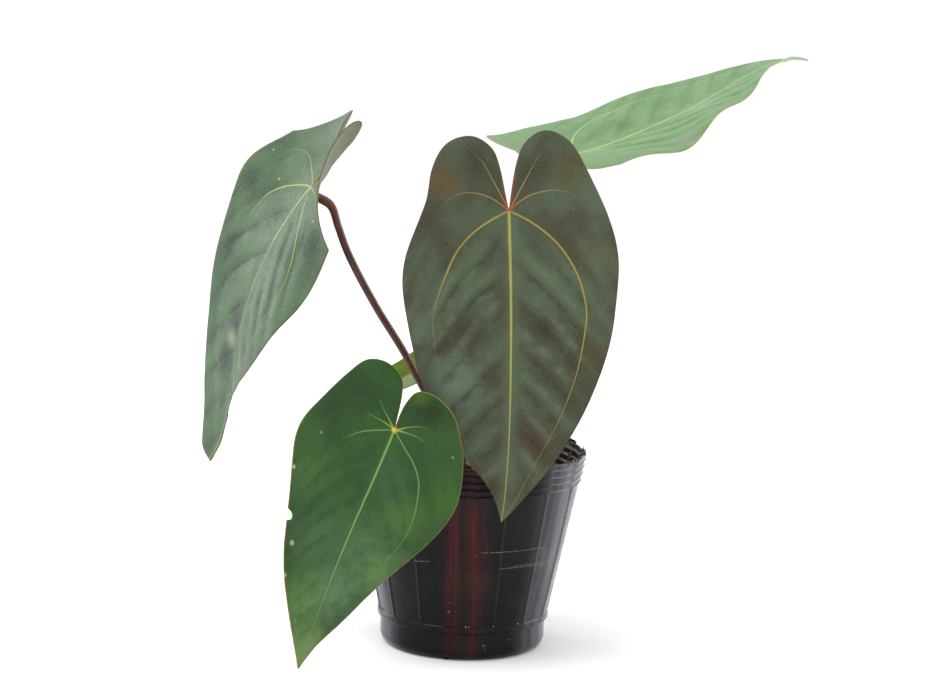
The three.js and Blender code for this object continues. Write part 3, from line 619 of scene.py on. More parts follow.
LEAVES = {
    "left": {
        "furrow_gap": 21, "quilting": 1.1, "junction": (-70, -8, 198), "heading": 297.5, "pitch": -47.5,
        "roll": -23.5, "length": 139.5, "lobe": 38, "half": 43, "bend": -48.5, "tip_curl": 43.5,
        "sweep": 14.5, "twist": -13.5,
        "stalk": {
            "radius": 1.65,
            "route": ((-4.5, 0.5, 79), (-9, -1.5, 94), (-19.6, -3, 111.4), (-29.1, -4, 128.2),
                (-41.5, -5, 147.5), (-53.7, -6.5, 169.8), (-58.2, -7.2, 181.3), (-61.6, -7.6, 190.3)),
        },
        "right": {
            "fold": (13, 32.5), "arch": 9.5, "lobe_bend": -36.5, "lobe_fold": -32.5,
            "wave": (0.6, 46, -1.4),
            "edge": ((0, 0), (1.5, -21), (5.5, -29.5), (15.5, -32.5), (27, -28.5), (35.5, -17), (41, 0),
                (48.5, 22), (46, 43.5), (38, 67.5), (31.5, 91), (22.5, 115.5), (11.5, 135.5), (0, 139.5)),
            "lobe_vein": ((0, 0), (6, -8), (11, -16), (17, -22), (24, -25)),
            "loop_vein": ((0, 0), (13.5, -0.5), (22, -1.5), (27.5, 0), (34, 4.5), (37, 12)),
            "outer_vein": ((0, 0), (9, 5), (17.5, 12), (23.5, 18), (28, 25), (30, 34), (31, 47), (29.5, 63),
                (25, 84), (16, 108), (7, 127), (1, 137)),
        },
        "left": {
            "fold": (-12, -2), "arch": -8, "lobe_bend": 27.5, "lobe_fold": 60, "wave": (-0.7, 76.5, 0.3),
            "edge": ((0, 0), (9, -22), (14, -33), (22, -39.5), (31, -35.5), (37, -22), (43, -2.5),
                (51, 24.5), (49.5, 48), (40.5, 73), (23.5, 95), (8.5, 109), (2.5, 125), (0, 139.5)),
            "lobe_vein": ((0, 0), (6, -8), (11, -16), (17, -24), (24, -29)),
            "loop_vein": ((0, 0), (9, -3), (18, -6), (27, -7), (34, -3), (38, 6)),
            "outer_vein": ((0, 0), (8.8, 4.5), (17, 8.7), (23.4, 13.5), (29, 19.5), (34.5, 28), (37, 40),
                (35.5, 52), (31, 66), (23, 82), (12, 100), (2, 128)),
        },
    },
    "centre": {
        "furrow_gap": 16.5, "quilting": 1.9, "junction": (13.8, -48, 194.2), "heading": 171, "pitch": -68,
        "roll": -7, "length": 129, "lobe": 35, "half": 40, "bend": -14, "tip_curl": -21, "sweep": -1.5,
        "twist": 15,
        "stalk": {
            "radius": 1.65,
            "route": ((1.5, -4.2, 84), (3, -9, 106), (6.5, -18, 136), (9.5, -28, 165), (11, -37, 183)),
        },
        "right": {
            "fold": (10, -2), "arch": -0.5, "lobe_bend": -3, "lobe_fold": -10, "wave": (3.5, 59, 1.6),
            "edge": ((0, 0), (3.5, -18.5), (7.5, -27), (16, -31), (26, -27), (33, -15.5), (38, 1),
                (44.5, 22), (44.5, 42), (40, 63), (32, 82), (19.5, 100.5), (6, 116), (0, 129)),
            "lobe_vein": ((0, 0), (4, -7.6), (7.7, -14), (11, -20), (15.6, -24.5)),
            "loop_vein": ((0, 0), (8, -4.6), (17, -5.8), (24.5, -3.5), (31, 2), (34, 8)),
            "outer_vein": ((0, 0), (11, 6.7), (18.3, 13), (24, 20.5), (29, 32.5), (32, 42), (33, 50),
                (31, 62), (27, 76), (19, 93), (9, 110), (1.5, 126)),
        },
        "left": {
            "fold": (9, 4.5), "arch": -0.5, "lobe_bend": -7.5, "lobe_fold": -9, "wave": (1.5, 53.5, 1),
            "edge": ((0, 0), (3.5, -20), (8, -30), (17, -35), (27.5, -30.5), (34.5, -18), (40, -1),
                (45, 21), (43, 41.5), (38, 62.5), (30.5, 82), (19.5, 101.5), (8, 117.5), (0, 129)),
            "lobe_vein": ((0, 0), (5, -9), (9, -16.5), (13, -23.5), (17, -28)),
            "loop_vein": ((0, 0), (6, -5), (12, -7.8), (19, -9.2), (25, -8.2), (29, -6)),
            "outer_vein": ((0, 0), (9, 4.8), (17, 11.3), (22.4, 17.6), (27, 25.5), (30, 34), (31, 42),
                (30, 51), (26.5, 68), (20, 86), (10, 106), (1.5, 126)),
        },
    },
    "low": {
        "furrow_gap": 14, "quilting": 0.8, "junction": (-29.4, -88, 108.7), "heading": 210, "pitch": -51,
        "roll": -51, "length": 104.5, "lobe": 28.5, "half": 32.5, "bend": -34, "tip_curl": -11.5,
        "sweep": 18.5, "twist": -43,
        "stalk": {
            "radius": 1.4,
            "route": ((-2.2, -4, 77), (-7, -14, 94), (-15, -31, 103), (-24, -51, 106.5), (-31, -70, 104.5)),
        },
        "right": {
            "fold": (-1.5, 4.5), "arch": -2.5, "lobe_bend": 10.5, "lobe_fold": -7, "wave": (-2, 64, 0.6),
            "bites": ((49.8, 1.9, 2.8),),
            "edge": ((0, 0), (2.5, -16), (5.5, -23), (13, -26.5), (21, -23.5), (26.5, -13.5), (31.5, 0),
                (36.5, 17.5), (36, 33.5), (31.5, 50.5), (25, 66), (15.5, 81.5), (6, 95), (0, 104.5)),
            "lobe_vein": ((0, 0), (2, -1.5), (5, -4), (9, -7.5), (14, -13)),
            "loop_vein": ((0, 0), (3, -0.6), (9, -1), (17, 0), (24, 5), (27, 12)),
            "outer_vein": ((0, 0), (7, 4), (11.6, 7), (15.4, 10.7), (20, 17), (23.2, 25), (25, 36),
                (23, 50), (18, 66), (10, 84), (1, 102)),
        },
        "left": {
            "fold": (13, -2.5), "arch": 0, "lobe_bend": -61, "lobe_fold": 32.5, "wave": (4, 90, 0.5),
            "edge": ((0, 0), (-0.8, -12.5), (2, -19), (11, -22.5), (19.5, -20.5), (25, -11.5), (30, 1),
                (34, 18), (33, 34), (29.5, 51), (23.5, 67), (15, 83), (5.5, 95.5), (0, 104.5)),
            "lobe_vein": ((0, 0), (2, -1.3), (5, -3.7), (10, -6.2), (15, -6.5)),
            "loop_vein": ((0, 0), (5, -1), (11, -1), (18, 2), (24, 8), (26, 14)),
            "outer_vein": ((0, 0), (6.8, 5.4), (12.6, 9.8), (17.2, 15.5), (20, 23), (22.2, 31), (23, 39),
                (22, 47), (18, 62), (10, 82), (1, 102)),
        },
    },
    "right": {
        "furrow_gap": 17, "quilting": 1, "junction": (43.3, 25, 213.2), "heading": 63, "pitch": 14,
        "roll": -5.5, "length": 133, "lobe": 36, "half": 41, "bend": 22.5, "tip_curl": -48, "sweep": 7.5,
        "twist": -1,
        "stalk": {
            "radius": 1.65,
            "route": ((4.5, 1, 79), (9, 6, 108), (19, 12, 139), (30, 18, 169), (40, 23, 191),
                (45.4, 25.5, 203)),
        },
        "right": {
            "fold": (-1, 12.5), "arch": -4, "lobe_bend": -30, "lobe_fold": 7.5, "wave": (2, 44, 0.7),
            "edge": ((0, 0), (3.5, -22.5), (7.5, -32.5), (16, -36.5), (27, -31.5), (34.5, -17.5), (40, 0.5),
                (46.5, 23), (45.5, 43), (39, 64), (29.5, 83), (17.5, 103), (6, 120), (0, 133)),
            "lobe_vein": ((0, 0), (5, -9), (9, -17), (14, -24), (20, -29)),
            "loop_vein": ((0, 0), (8, -3), (17, -5), (25, -3), (31, 3), (34, 11)),
            "outer_vein": ((0, 0), (8, 7), (15.3, 10.5), (24, 16.5), (28.5, 25), (31.5, 35), (32, 47),
                (28, 65), (20, 86), (11, 106), (1.5, 130)),
        },
        "left": {
            "fold": (17.5, 10), "arch": 0.5, "lobe_bend": -36.5, "lobe_fold": -1, "wave": (1.5, 76, 2.5),
            "edge": ((0, 0), (6, -21.5), (11, -31), (20, -36), (30, -31.5), (36, -18), (40.5, 0), (45, 23),
                (44, 43.5), (38.5, 65), (30, 84), (18.5, 103.5), (6.5, 120), (0, 133)),
            "lobe_vein": ((0, 0), (6, -9), (11, -17), (17, -24), (23, -28)),
            "loop_vein": ((0, 0), (8, -3), (17, -5), (25, -3), (31, 3), (34, 11)),
            "outer_vein": ((0, 0), (13.4, 6), (22.3, 13), (29, 21.5), (33.5, 31), (33, 46), (29, 60.5),
                (25, 75.8), (15, 98), (1.5, 130)),
        },
    },
    "back": {
        "furrow_gap": 11, "quilting": 0.7, "junction": (-9.5, 22, 121.2), "heading": 270, "pitch": -22,
        "roll": -13, "length": 56, "lobe": 15, "half": 17.5, "bend": -12, "tip_curl": -10, "sweep": 0,
        "twist": 0,
        "stalk": {
            "radius": 1.2,
            "route": ((-0.5, 4.4, 82), (0, 9, 95), (-2, 16, 107.5), (-6.3, 20.5, 115.6)),
        },
    },
}
for hand, wave in (("right", (0.6, 30, 0)), ("left", (0.6, 34, 1))):
    LEAVES["back"][hand] = {
        "fold": (12, 8), "arch": -3, "lobe_bend": -5, "lobe_fold": 0, "wave": wave,
        "edge": ((0, 0), (1.5, -8.5), (3.5, -12.5), (7.5, -14.5), (12, -12.5), (14.5, -7.5), (16.5, 0),
            (19, 9.5), (18.5, 18), (16, 27), (13, 35.5), (8, 43.5), (3, 50.5), (0, 56)),
        "lobe_vein": ((0, 0), (2, -3.5), (3.5, -7), (5.5, -10)),
        "loop_vein": ((0, 0), (3.5, -1.5), (7, -2.2), (10.5, -1), (13.5, 2.5)),
        "outer_vein": ((0, 0), (4, 2.5), (8, 6), (11, 11), (13, 18), (12, 27), (8.5, 37), (4, 47),
            (0.6, 54.5)),
    }


def turned(axis, degrees):
    """Matrices that turn by so many degrees about x, y or z."""
    angle = np.radians(degrees)
    cos, sin, none, one = np.cos(angle), np.sin(angle), np.zeros_like(angle), np.ones_like(angle)
    rows = {
        "x": (one, none, none, none, cos, -sin, none, sin, cos),
        "y": (cos, none, sin, none, one, none, -sin, none, cos),
        "z": (cos, -sin, none, sin, cos, none, none, none, one),
    }[axis]
    return np.stack(rows, -1).reshape(angle.shape + (3, 3))


def eased(start, end, leave, arrive, t):
    """A cubic from start to end that leaves and arrives at the speeds given, as t goes from 0 to 1."""
    twice = 3 * (end - start) - 2 * leave - arrive
    return start + leave * t + twice * t ** 2 + (2 * (start - end) + leave + arrive) * t ** 3


def smooth_edge(points, t):
    """A uniform Catmull-Rom curve through the points, at whole and part numbers of points."""
    points, t = np.asarray(points, float), np.asarray(t, float)
    last = len(points) - 1
    i = np.clip(np.floor(t).astype(int), 0, last - 1)
    w = (t - i)[..., None]
    a, b, c, d = (points[np.clip(i + n, 0, last)] for n in (-1, 0, 1, 2))
    return eased(b, c, (c - a) / 2, (d - b) / 2, w)


def turn_at(leaf, side, along):
    """How a blade is turned at a distance along its midrib: its pose at the stalk, then the bend, which
    grows with distance and curls at the tip, the sweep to one side and the twist."""
    far = np.clip(along / leaf["length"], 0, 1.05)
    back = np.maximum(-along, 0) / leaf["lobe"]
    start = turned("z", np.array(-leaf["heading"])) @ turned("x", np.array(leaf["pitch"]))
    start = start @ turned("y", np.array(leaf["roll"]))
    bend = leaf["bend"] * far + leaf["tip_curl"] * far ** 7 + side["lobe_bend"] * back
    sweep, twist = leaf["sweep"] * far ** 2, leaf["twist"] * far
    return start @ turned("x", bend) @ turned("z", sweep) @ turned("y", twist)


def spine_at(leaf, side, along):
    """The midrib's place: the sum of short steps, each along the blade's own length axis."""
    middle = (np.arange(40) + 0.5) / 40
    reach = np.linspace(-1.3 * leaf["lobe"], leaf["length"] * 1.01, 240)
    step = turn_at(leaf, side, reach[:, None] * middle)[..., 1]
    places = step.mean(1) * reach[:, None]
    return np.stack([np.interp(along, reach, places[:, k]) for k in range(3)], -1) + leaf["junction"]


def blade_point(leaf, side, across, along):
    """A flat point of one half, folded up from the midrib on a small round, arched, and waved by a sine
    along the edge that grows as the square of the distance from the midrib."""
    far = unit(along / leaf["length"])
    back = np.maximum(-along, 0) / leaf["lobe"]
    near, tip = side["fold"]
    fold = np.radians(near + (tip - near) * far + side["lobe_fold"] * back)
    arch = np.radians(side["arch"] * (1 - far)) / 10 * across + 1e-9
    middle = fold + arch / 2
    chord = across * np.sin(arch / 2) / (arch / 2)
    rise = chord - MIDRIB_ROUND * (1 - np.exp(-chord / MIDRIB_ROUND))
    height, length, phase = side["wave"]
    calm_tip = unit((leaf["length"] - along) / leaf["half"])
    lift = height * (across / leaf["half"]) ** 2 * np.sin(2 * np.pi * along / length + phase) * calm_tip
    local = np.stack([side["hand"] * chord * np.cos(middle), 0 * chord, rise * np.sin(middle) + lift], -1)
    return (turn_at(leaf, side, along) @ local[..., None])[..., 0] + spine_at(leaf, side, along)


def leaf_rows(leaf, side, rows, columns):
    """Flat points of one half. Rows fan from the stalk's end into the lobe, then leave the midrib one
    after another to the edge, and the first row is the edge of the notch between the lobes."""
    edge = side["edge"]
    last = len(edge) - 1
    t = SINUS_END + (last - SINUS_END) * np.linspace(0, 1, rows)
    end, notch = smooth_edge(edge, t), smooth_edge(edge, SINUS_END)
    for at, wide, deep in side.get("bites", ()):
        end[:, 0] -= deep * np.sqrt(unit(1 - ((end[:, 1] - at) / wide) ** 2))
    root = unit((t - LOBE_END) / (last - LOBE_END)) ** ROW_LEAN * leaf["length"]
    hug = unit(1 - (t - SINUS_END) / (LOBE_END - SINUS_END))[:, None] ** 2
    u = np.linspace(0, 1, columns) ** 1.45
    u = 1 - (1 - u) ** 1.12
    in_notch = smooth_edge(edge, SINUS_END * u)
    across = end[:, :1] * u + hug * (in_notch[:, 0] - notch[0] * u)
    along = root[:, None] * (1 - u) + end[:, 1:] * u + hug * (in_notch[:, 1] - notch[1] * u)
    return across, along


def shortest_way(across, along, line):
    """From each flat point, the shortest way to a line of points, and the leg of the line that it meets."""
    point = np.stack([across, along], -1).reshape(-1, 1, 2)
    leg = line[1:] - line[:-1]
    share = unit(((point - line[:-1]) * leg).sum(-1) / (leg ** 2).sum(-1))
    off = point - line[:-1] - share[..., None] * leg
    near = np.argmin((off ** 2).sum(-1), 1)
    return off[np.arange(len(near)), near], leg[near]


def signed_distance(across, along, line):
    """Distance to a smoothed line that is drawn on past both ends, below zero on the midrib's side."""
    line = smooth_edge(line, np.linspace(0, len(line) - 1, 5 * len(line)))
    first, last = line[0] - line[1], line[-1] - line[-2]
    ends = line[0] + 40 * first / np.hypot(*first), line[-1] + 40 * last / np.hypot(*last)
    off, leg = shortest_way(across, along, np.concatenate([ends[:1], line, ends[1:]]))
    cross = leg[:, 1] * off[:, 0] - leg[:, 0] * off[:, 1]
    return (np.sign(cross) * np.hypot(*off.T)).reshape(across.shape)


def half_blade(leaf, side, rows, columns):
    """One half of a blade as arrays on its grid: its flat points, its place in space, and how far each
    point lies from each vein, from the edge, and along the run of side veins."""
    across, along = leaf_rows(leaf, side, rows, columns)
    size = leaf["size"]
    lean = 0.55 * across + 0.017 / size * across ** 2
    wander = swells(across + 50 * side["hand"] + 200, along + 100, 24 * size, 31)
    rung = (along - lean + 3.2 * size * wander) / (leaf["furrow_gap"] * size)
    outline = smooth_edge(side["edge"], np.linspace(0, len(side["edge"]) - 1, 160))
    off, _ = shortest_way(across, along, outline)
    half = {name: signed_distance(across, along, side[name + "_vein"]) for name in ("outer", "loop", "lobe")}
    return half | {
        "place": blade_point(leaf, side, across, along), "across": across, "along": along,
        "rung": rung + side["hand"] * 0.25, "margin": np.hypot(*off.T).reshape(across.shape),
    }


def relief(leaf, sheet, depth):
    """Height of the upper face over the plain blade. The side veins' run makes one cushion each, with a
    sharp furrow between, and every main vein lies in a shallow trough with a fine ridge along it."""
    size = leaf["size"]
    off, down, outer = sheet["across"], sheet["along"], sheet["outer"]
    across, along = off / size, down / size
    turn = sheet["rung"] % 1
    cushion = 1 - (2 * turn - 0.8) ** 2 / np.where(turn < 0.4, 0.64, 1.44)
    fade = unit((along + 2) / 16) * unit(across / 6)
    fade *= np.clip(sheet["margin"] / (9 * size), 0.1, 1)
    uneven = 0.75 + 0.5 * swells(off + 160, down + 140, 15 * size, 41)
    height = depth * fade * np.where(outer > 0, 0.6, 1) * uneven * (cushion - 0.6)
    from_stalk = np.hypot(across, along)
    trough = VEIN_TROUGH * bell(outer, 2.6 * size) * unit((along + 1) / 4)
    lobes = unit(1.3 - from_stalk / 26)
    for name in ("loop", "lobe"):
        trough = np.maximum(trough, LOBE_TROUGH * lobes * bell(sheet[name], 2.4 * size))
    ridge = VEIN_RIDGE * bell(outer, 0.55) * unit(1 - along / 125)
    middle = unit(1 - along / 150) * np.where(along < 0, bell(along, 1.5), 1)
    height += middle * (MIDRIB_RIDGE * bell(off, 0.75) - MIDRIB_TROUGH * bell(off, 3))
    slow = swells(off + 90, down + 60, 13 * size, 11) + 0.5 * swells(off + 30, down + 90, 6 * size, 12)
    calm = unit(from_stalk / 8)
    return height - trough * calm + ridge * calm + 0.22 * size * slow * calm


def split(quads):
    """Each four-cornered face as two triangles."""
    return np.concatenate([quads[:, [0, 1, 2]], quads[:, [0, 2, 3]]])


def blade_mesh(leaf, rows, columns, depth):
    """Both halves share the midrib's corners, and every row that fans from the stalk shares one. The upper
    and lower skins lie off the sheet along its normals and a strip closes the rim."""
    halves = [half_blade(leaf, leaf[hand], rows, columns) for hand in ("right", "left")]
    count = rows * columns
    right = np.arange(count).reshape(rows, columns)
    left = right + count
    spine = np.where(halves[0]["along"][:, 0] <= 0, 0, right[:, 0])
    for ids in (right, left):
        ids[:, 0] = spine
        ids[-1] = spine[-1]
    sheet = {key: np.concatenate([half[key].reshape(count, *half[key].shape[2:]) for half in halves])
             for key in halves[0]}
    place, across, along, margin = (sheet[key] for key in ("place", "across", "along", "margin"))
    outer, loop, lobe, rung = (sheet[key] for key in ("outer", "loop", "lobe", "rung"))
    tris = split(np.concatenate([grid_faces(right), grid_faces(left)[:, ::-1]]))
    tris = tris[(tris[:, 0] != tris[:, 1]) & (tris[:, 1] != tris[:, 2]) & (tris[:, 2] != tris[:, 0])]
    normal = np.cross(place[tris[:, 1]] - place[tris[:, 0]], place[tris[:, 2]] - place[tris[:, 0]])
    total = np.stack([np.bincount(tris.ravel(), np.repeat(normal[:, k], 3), 2 * count) for k in range(3)], -1)
    total /= np.linalg.norm(total, axis=1, keepdims=True) + 1e-12
    raised = relief(leaf, sheet, depth)
    size = leaf["size"]
    thin = unit(margin / 2.5)
    thin = thin * (2 - thin)
    from_stalk = np.hypot(across, along)
    fading = 1 - 0.7 * unit(along / leaf["length"])
    midrib = MIDRIB_RIB * fading * bell(np.where(along < 0, from_stalk, across), 1.5)
    ribs = VEIN_RIB * bell(outer, 0.8) * (along > 0) * unit(1.1 - along / leaf["length"])
    lobes = LOBE_RIB * unit(1.3 - from_stalk / (26 * size))
    ribs = np.maximum(ribs, lobes * bell(np.minimum(np.abs(loop), np.abs(lobe)), 0.8))
    off_rung = np.abs((rung + 0.5) % 1 - 0.5) * leaf["furrow_gap"] * size
    ribs = np.maximum(ribs, SIDE_RIB * bell(off_rung, 0.8) * (outer < 0) * unit(along / 12))
    above = RIM_THIN + (BLADE_ABOVE - RIM_THIN) * thin + raised
    below = RIM_THIN + (BLADE_BELOW - RIM_THIN) * thin + midrib + ribs * thin - raised
    skins = np.concatenate([place + total * above[:, None], place - total * below[:, None]])
    rim = np.concatenate([left[0], left[1:, -1], right[1:-1, -1][::-1], right[0][:0:-1]])
    following = np.roll(rim, -1)
    strip = split(np.stack([rim, rim + 2 * count, following + 2 * count, following], -1))
    faces = np.concatenate([tris[:, ::-1], tris + 2 * count, strip])[:, ::-1]
    under = np.repeat([0, 1, 1], [len(tris), len(tris), len(strip)])
    used, faces = np.unique(faces, return_inverse=True)
    lie = np.stack([np.repeat([1, -1], count) * across, along, margin], -1)
    facts = {"veins": np.stack([outer, loop, lobe], -1), "lie": lie, "rung": rung[:, None]}
    facts = {name: np.tile(values, (2, 1))[used] for name, values in facts.items()}
    return skins[used], faces.reshape(-1, 3), under, facts


def stalk_path(leaf, count):
    """A centripetal Catmull-Rom curve through the route and into the blade's underside, at even steps, and
    the length run so far."""
    side = leaf["right"]
    reach = np.array([leaf["stalk"]["radius"] + STALK_GAP])
    end = spine_at(leaf, side, reach)[0]
    facing = turn_at(leaf, side, reach)[0][:, 2]
    points = np.array([*leaf["stalk"]["route"], end - 4 * facing, end])
    points = np.concatenate([[2 * points[0] - points[1]], points, [2 * points[-1] - points[-2]]])
    gap = np.linalg.norm(np.diff(points, axis=0), axis=1) ** 0.5
    fine = []
    t = np.linspace(0, 1, 40, endpoint=False)[:, None]
    for n in range(1, len(points) - 2):
        a, b, c, d = points[n - 1:n + 3]
        before, here, after = gap[n - 1:n + 2]
        leave = here * ((b - a) / before - (c - a) / (before + here) + (c - b) / here)
        arrive = here * ((c - b) / here - (d - b) / (here + after) + (d - c) / after)
        fine.append(eased(b, c, leave, arrive, t))
    fine = np.concatenate([*fine, points[-2:-1]])
    run = np.append(0, np.cumsum(np.linalg.norm(np.diff(fine, axis=0), axis=1)))
    even = np.linspace(0, run[-1], count)
    return np.stack([np.interp(even, run, fine[:, k]) for k in range(3)], -1), even


def tube(path, radius, sides):
    """Carries a ring along a path, each turned as little as can be from the one before, and closes both
    ends. The radius is one number for each ring and side."""
    ahead = np.gradient(path, axis=0)
    ahead /= np.linalg.norm(ahead, axis=1, keepdims=True)
    across = np.cross(ahead[0], (0.3, 1, 0.1))
    frames = []
    for direction in ahead:
        across = across - direction * (across @ direction)
        across /= np.linalg.norm(across)
        frames.append((across, np.cross(direction, across)))
    frames = np.array(frames)
    turn = np.radians(np.arange(sides) * 360 / sides)
    ring = np.cos(turn)[None, :, None] * frames[:, None, 0] + np.sin(turn)[None, :, None] * frames[:, None, 1]
    places = path[:, None] + ring * np.broadcast_to(radius, (len(path), sides))[..., None]
    first_cap, last_cap = range(sides), range(len(path) * sides - 1, len(path) * sides - sides - 1, -1)
    return places.reshape(-1, 3), ring_faces(len(path), sides).tolist() + [list(first_cap), list(last_cap)]


def stalk_mesh(leaf):
    """A round tube, thicker at its foot and at the knee under the blade, faintly fluted along its length,
    and let a little way into the underside of the midrib."""
    sides, count = 20, 170
    path, run = stalk_path(leaf, count)
    foot = 0.45 * bell(run, 14)
    knee = 0.22 * bell(run[-1] - 7 - run, 6)
    turn = np.radians(np.arange(sides) * 360 / sides)
    flutes = 0.03 * np.cos(5 * turn + 0.3) + 0.015 * np.cos(9 * turn)
    radius = leaf["stalk"]["radius"] * (1 + foot + knee)[:, None] * (1 + flutes)
    places, faces = tube(path[:-1], radius[:-1], sides)
    return places, faces, np.repeat(run[:-1], sides) / run[-1]


def from_point(place, x, y):
    """How far a flat place is from a point."""
    made = add_node(place.tree, "VectorMath", {"operation": "DISTANCE"}, Vector=place)
    fill(made.inputs[1], (x, y, 0))
    return Output(made.outputs["Value"])


def line(distance, half, soft):
    """A soft line of a half width, drawn where a distance from it is small."""
    return band(abs(distance), half + soft, half)


def leaf_finish(name, look):
    """Waxy leaf skin. The flat place on the leaf and the signed distances to its veins draw the veins, the
    edge and the patches, and paint the quilting as painted shade in its furrows and a painted highlight
    on its crowns; noise gives the mottling, the fine net and the uneven gloss."""
    finish, tree, _ = new_finish(name)
    outer, loop, lobe = parts(read(tree, "veins", "Vector"))
    across, along, margin = parts(read(tree, "lie", "Vector"))
    rung = read(tree, "rung")
    size = look["size"]
    width = abs(across)
    flat = flat_place(across, along)
    from_stalk = from_point(flat, 0, 0)
    forward = band(along, -1.5 * size, 2.0 * size)
    broad = noise(flat, 0.04 / size, 3.0, 0.55)
    mottle = noise(flat, 0.13 / size, 4.0, 0.6)
    fine = noise(flat, 1.3, 4.0, 0.65)
    skin = mixed(band(broad, 0.38, 0.62), look["skin"], look["second"])
    # Painted reflection: one half can be painted paler all over, standing in for the bright sky reflected by
    # the near half seen at a glancing angle.
    if "sky_reflection_half" in look:
        skin = mixed(band(across, -0.6, 0.3, 0.95, 0.0), skin, look["sky_reflection_half"])
    for x, y, reach, code, strength in look["patches"]:
        off = from_point(flat, x, y) + mottle * (1.1 * reach)
        skin = mixed(band(off, 1.9 * reach, 0.4 * reach) * strength, skin, code)
    # The quilting's light is painted: the furrow colour paints shade on the furrows between the cushions, and
    # the crown colour paints a highlight on their crowns. The crown colour also gives the pale band beside
    # the midrib.
    turn = rung.math("FRACT")
    painted_furrow_shade = band(turn, 0.42, 0.02) | band(turn, 0.84, 1.0)
    crown = band(abs(turn - 0.6), 0.24, 0.02)
    shown = band(along, -2.0, 24.0 * size) * band(width, 1.0, 7.0) * band(mottle, 0.36, 0.6, 0.15, 1.0)
    shown *= band(outer, -1.0, 3.0, 1.0, look["outside"])
    skin = mixed(painted_furrow_shade * shown * look["furrow_shade_share"], skin, look["furrow"])
    skin = mixed(crown * shown * look["shine"], skin, look["crown"])
    skin = mixed(band(width, 5.0 * size, 0.0) * forward * look["halo"], skin, look["crown"])
    cells = add_node(tree, "TexVoronoi", {"feature": "DISTANCE_TO_EDGE"}, Vector=flat, Scale=0.5)
    net = Output(cells.outputs["Distance"])
    skin = mixed(band(net, 0.12, 0.02) * look["net"], skin, look["vein"])
    skin = mixed(band(fine, 0.42, 0.72, 0.0, 0.22), skin, look["furrow"])

    drawn = band(abs((rung + 0.5).math("FRACT") - 0.5), 0.022, 0.006)
    drawn = drawn * band(outer, -1.0, 0.0, 1.0, 0.3) * forward * band(along, 2.0, 20.0 * size)
    drawn = drawn * band(broad, 0.42, 0.6) * look["rungs"]
    taper = band(along, 0.0, 90.0 * size, 1.15, 0.5)
    mark = line(outer / taper, look["thick"], look["thick"] + 0.1)
    for hand, (start, end, left_over) in zip((1.0, -1.0), look["outer_fade"]):
        one_side = band(across * hand, -0.2, 0.2)
        down = band(from_stalk, start * size, end * size, 1.0, left_over)
        drawn |= mark * one_side * down * forward * look["lines"]
    away = band(from_stalk, 6.0 * size, look["lobe_fade"] * size, 1.0, 0.06)
    for distance in (loop, lobe):
        drawn |= line(distance, 0.12, 0.2) * away * look["lines"]
    skin = mixed(drawn, skin, look["vein"])
    middle = band(width / band(along, 0.0, 125.0 * size, 0.62 * size, 0.2 * size), 1.4, 0.6)
    middle = middle * band(along, -1.0, 0.5) * band(along, 60 * size, 130 * size, 1.0, look["mid_end"])
    skin = mixed(middle, skin, look["midrib"])
    notch = band(margin, 1.1, 0.25) * band(along, 1.0, -1.0)
    notch = notch * band(width, 10.0, 6.0) * band(from_stalk, 8.0, 22.0, 1.0, 0.3) * look["sinus"]
    starts = (line(loop, 0.1, 0.5) | line(lobe, 0.1, 0.5)) * band(from_stalk, 9.0 * size, 1.0)
    core = band(from_stalk, 2.2 * size, 0.5 * size) * look["core"]
    skin = mixed(notch | starts * look["starts"] | core, skin, look["heart"])
    skin = mixed(band(margin, 0.5, 0.1) * look["rim_share"], skin, look["rim"])
    dots = Output(add_node(tree, "TexVoronoi", Vector=flat, Scale=0.07).outputs["Distance"])
    skin = mixed(band(dots, 0.055, 0.03) * look["dots"], skin, look["dot"])
    rough = band(noise(flat, 0.4, 3.0), 0.3, 0.7, look["gloss"], look["gloss"] + 0.12)
    height = fine * 0.6 + band(net, 0.0, 0.3)
    return painted(finish, skin, rough, height, 0.00016, look["bump"], Specular_IOR_Level=look["specular"],
                   Sheen_Weight=look["sheen"], Sheen_Roughness=0.45)


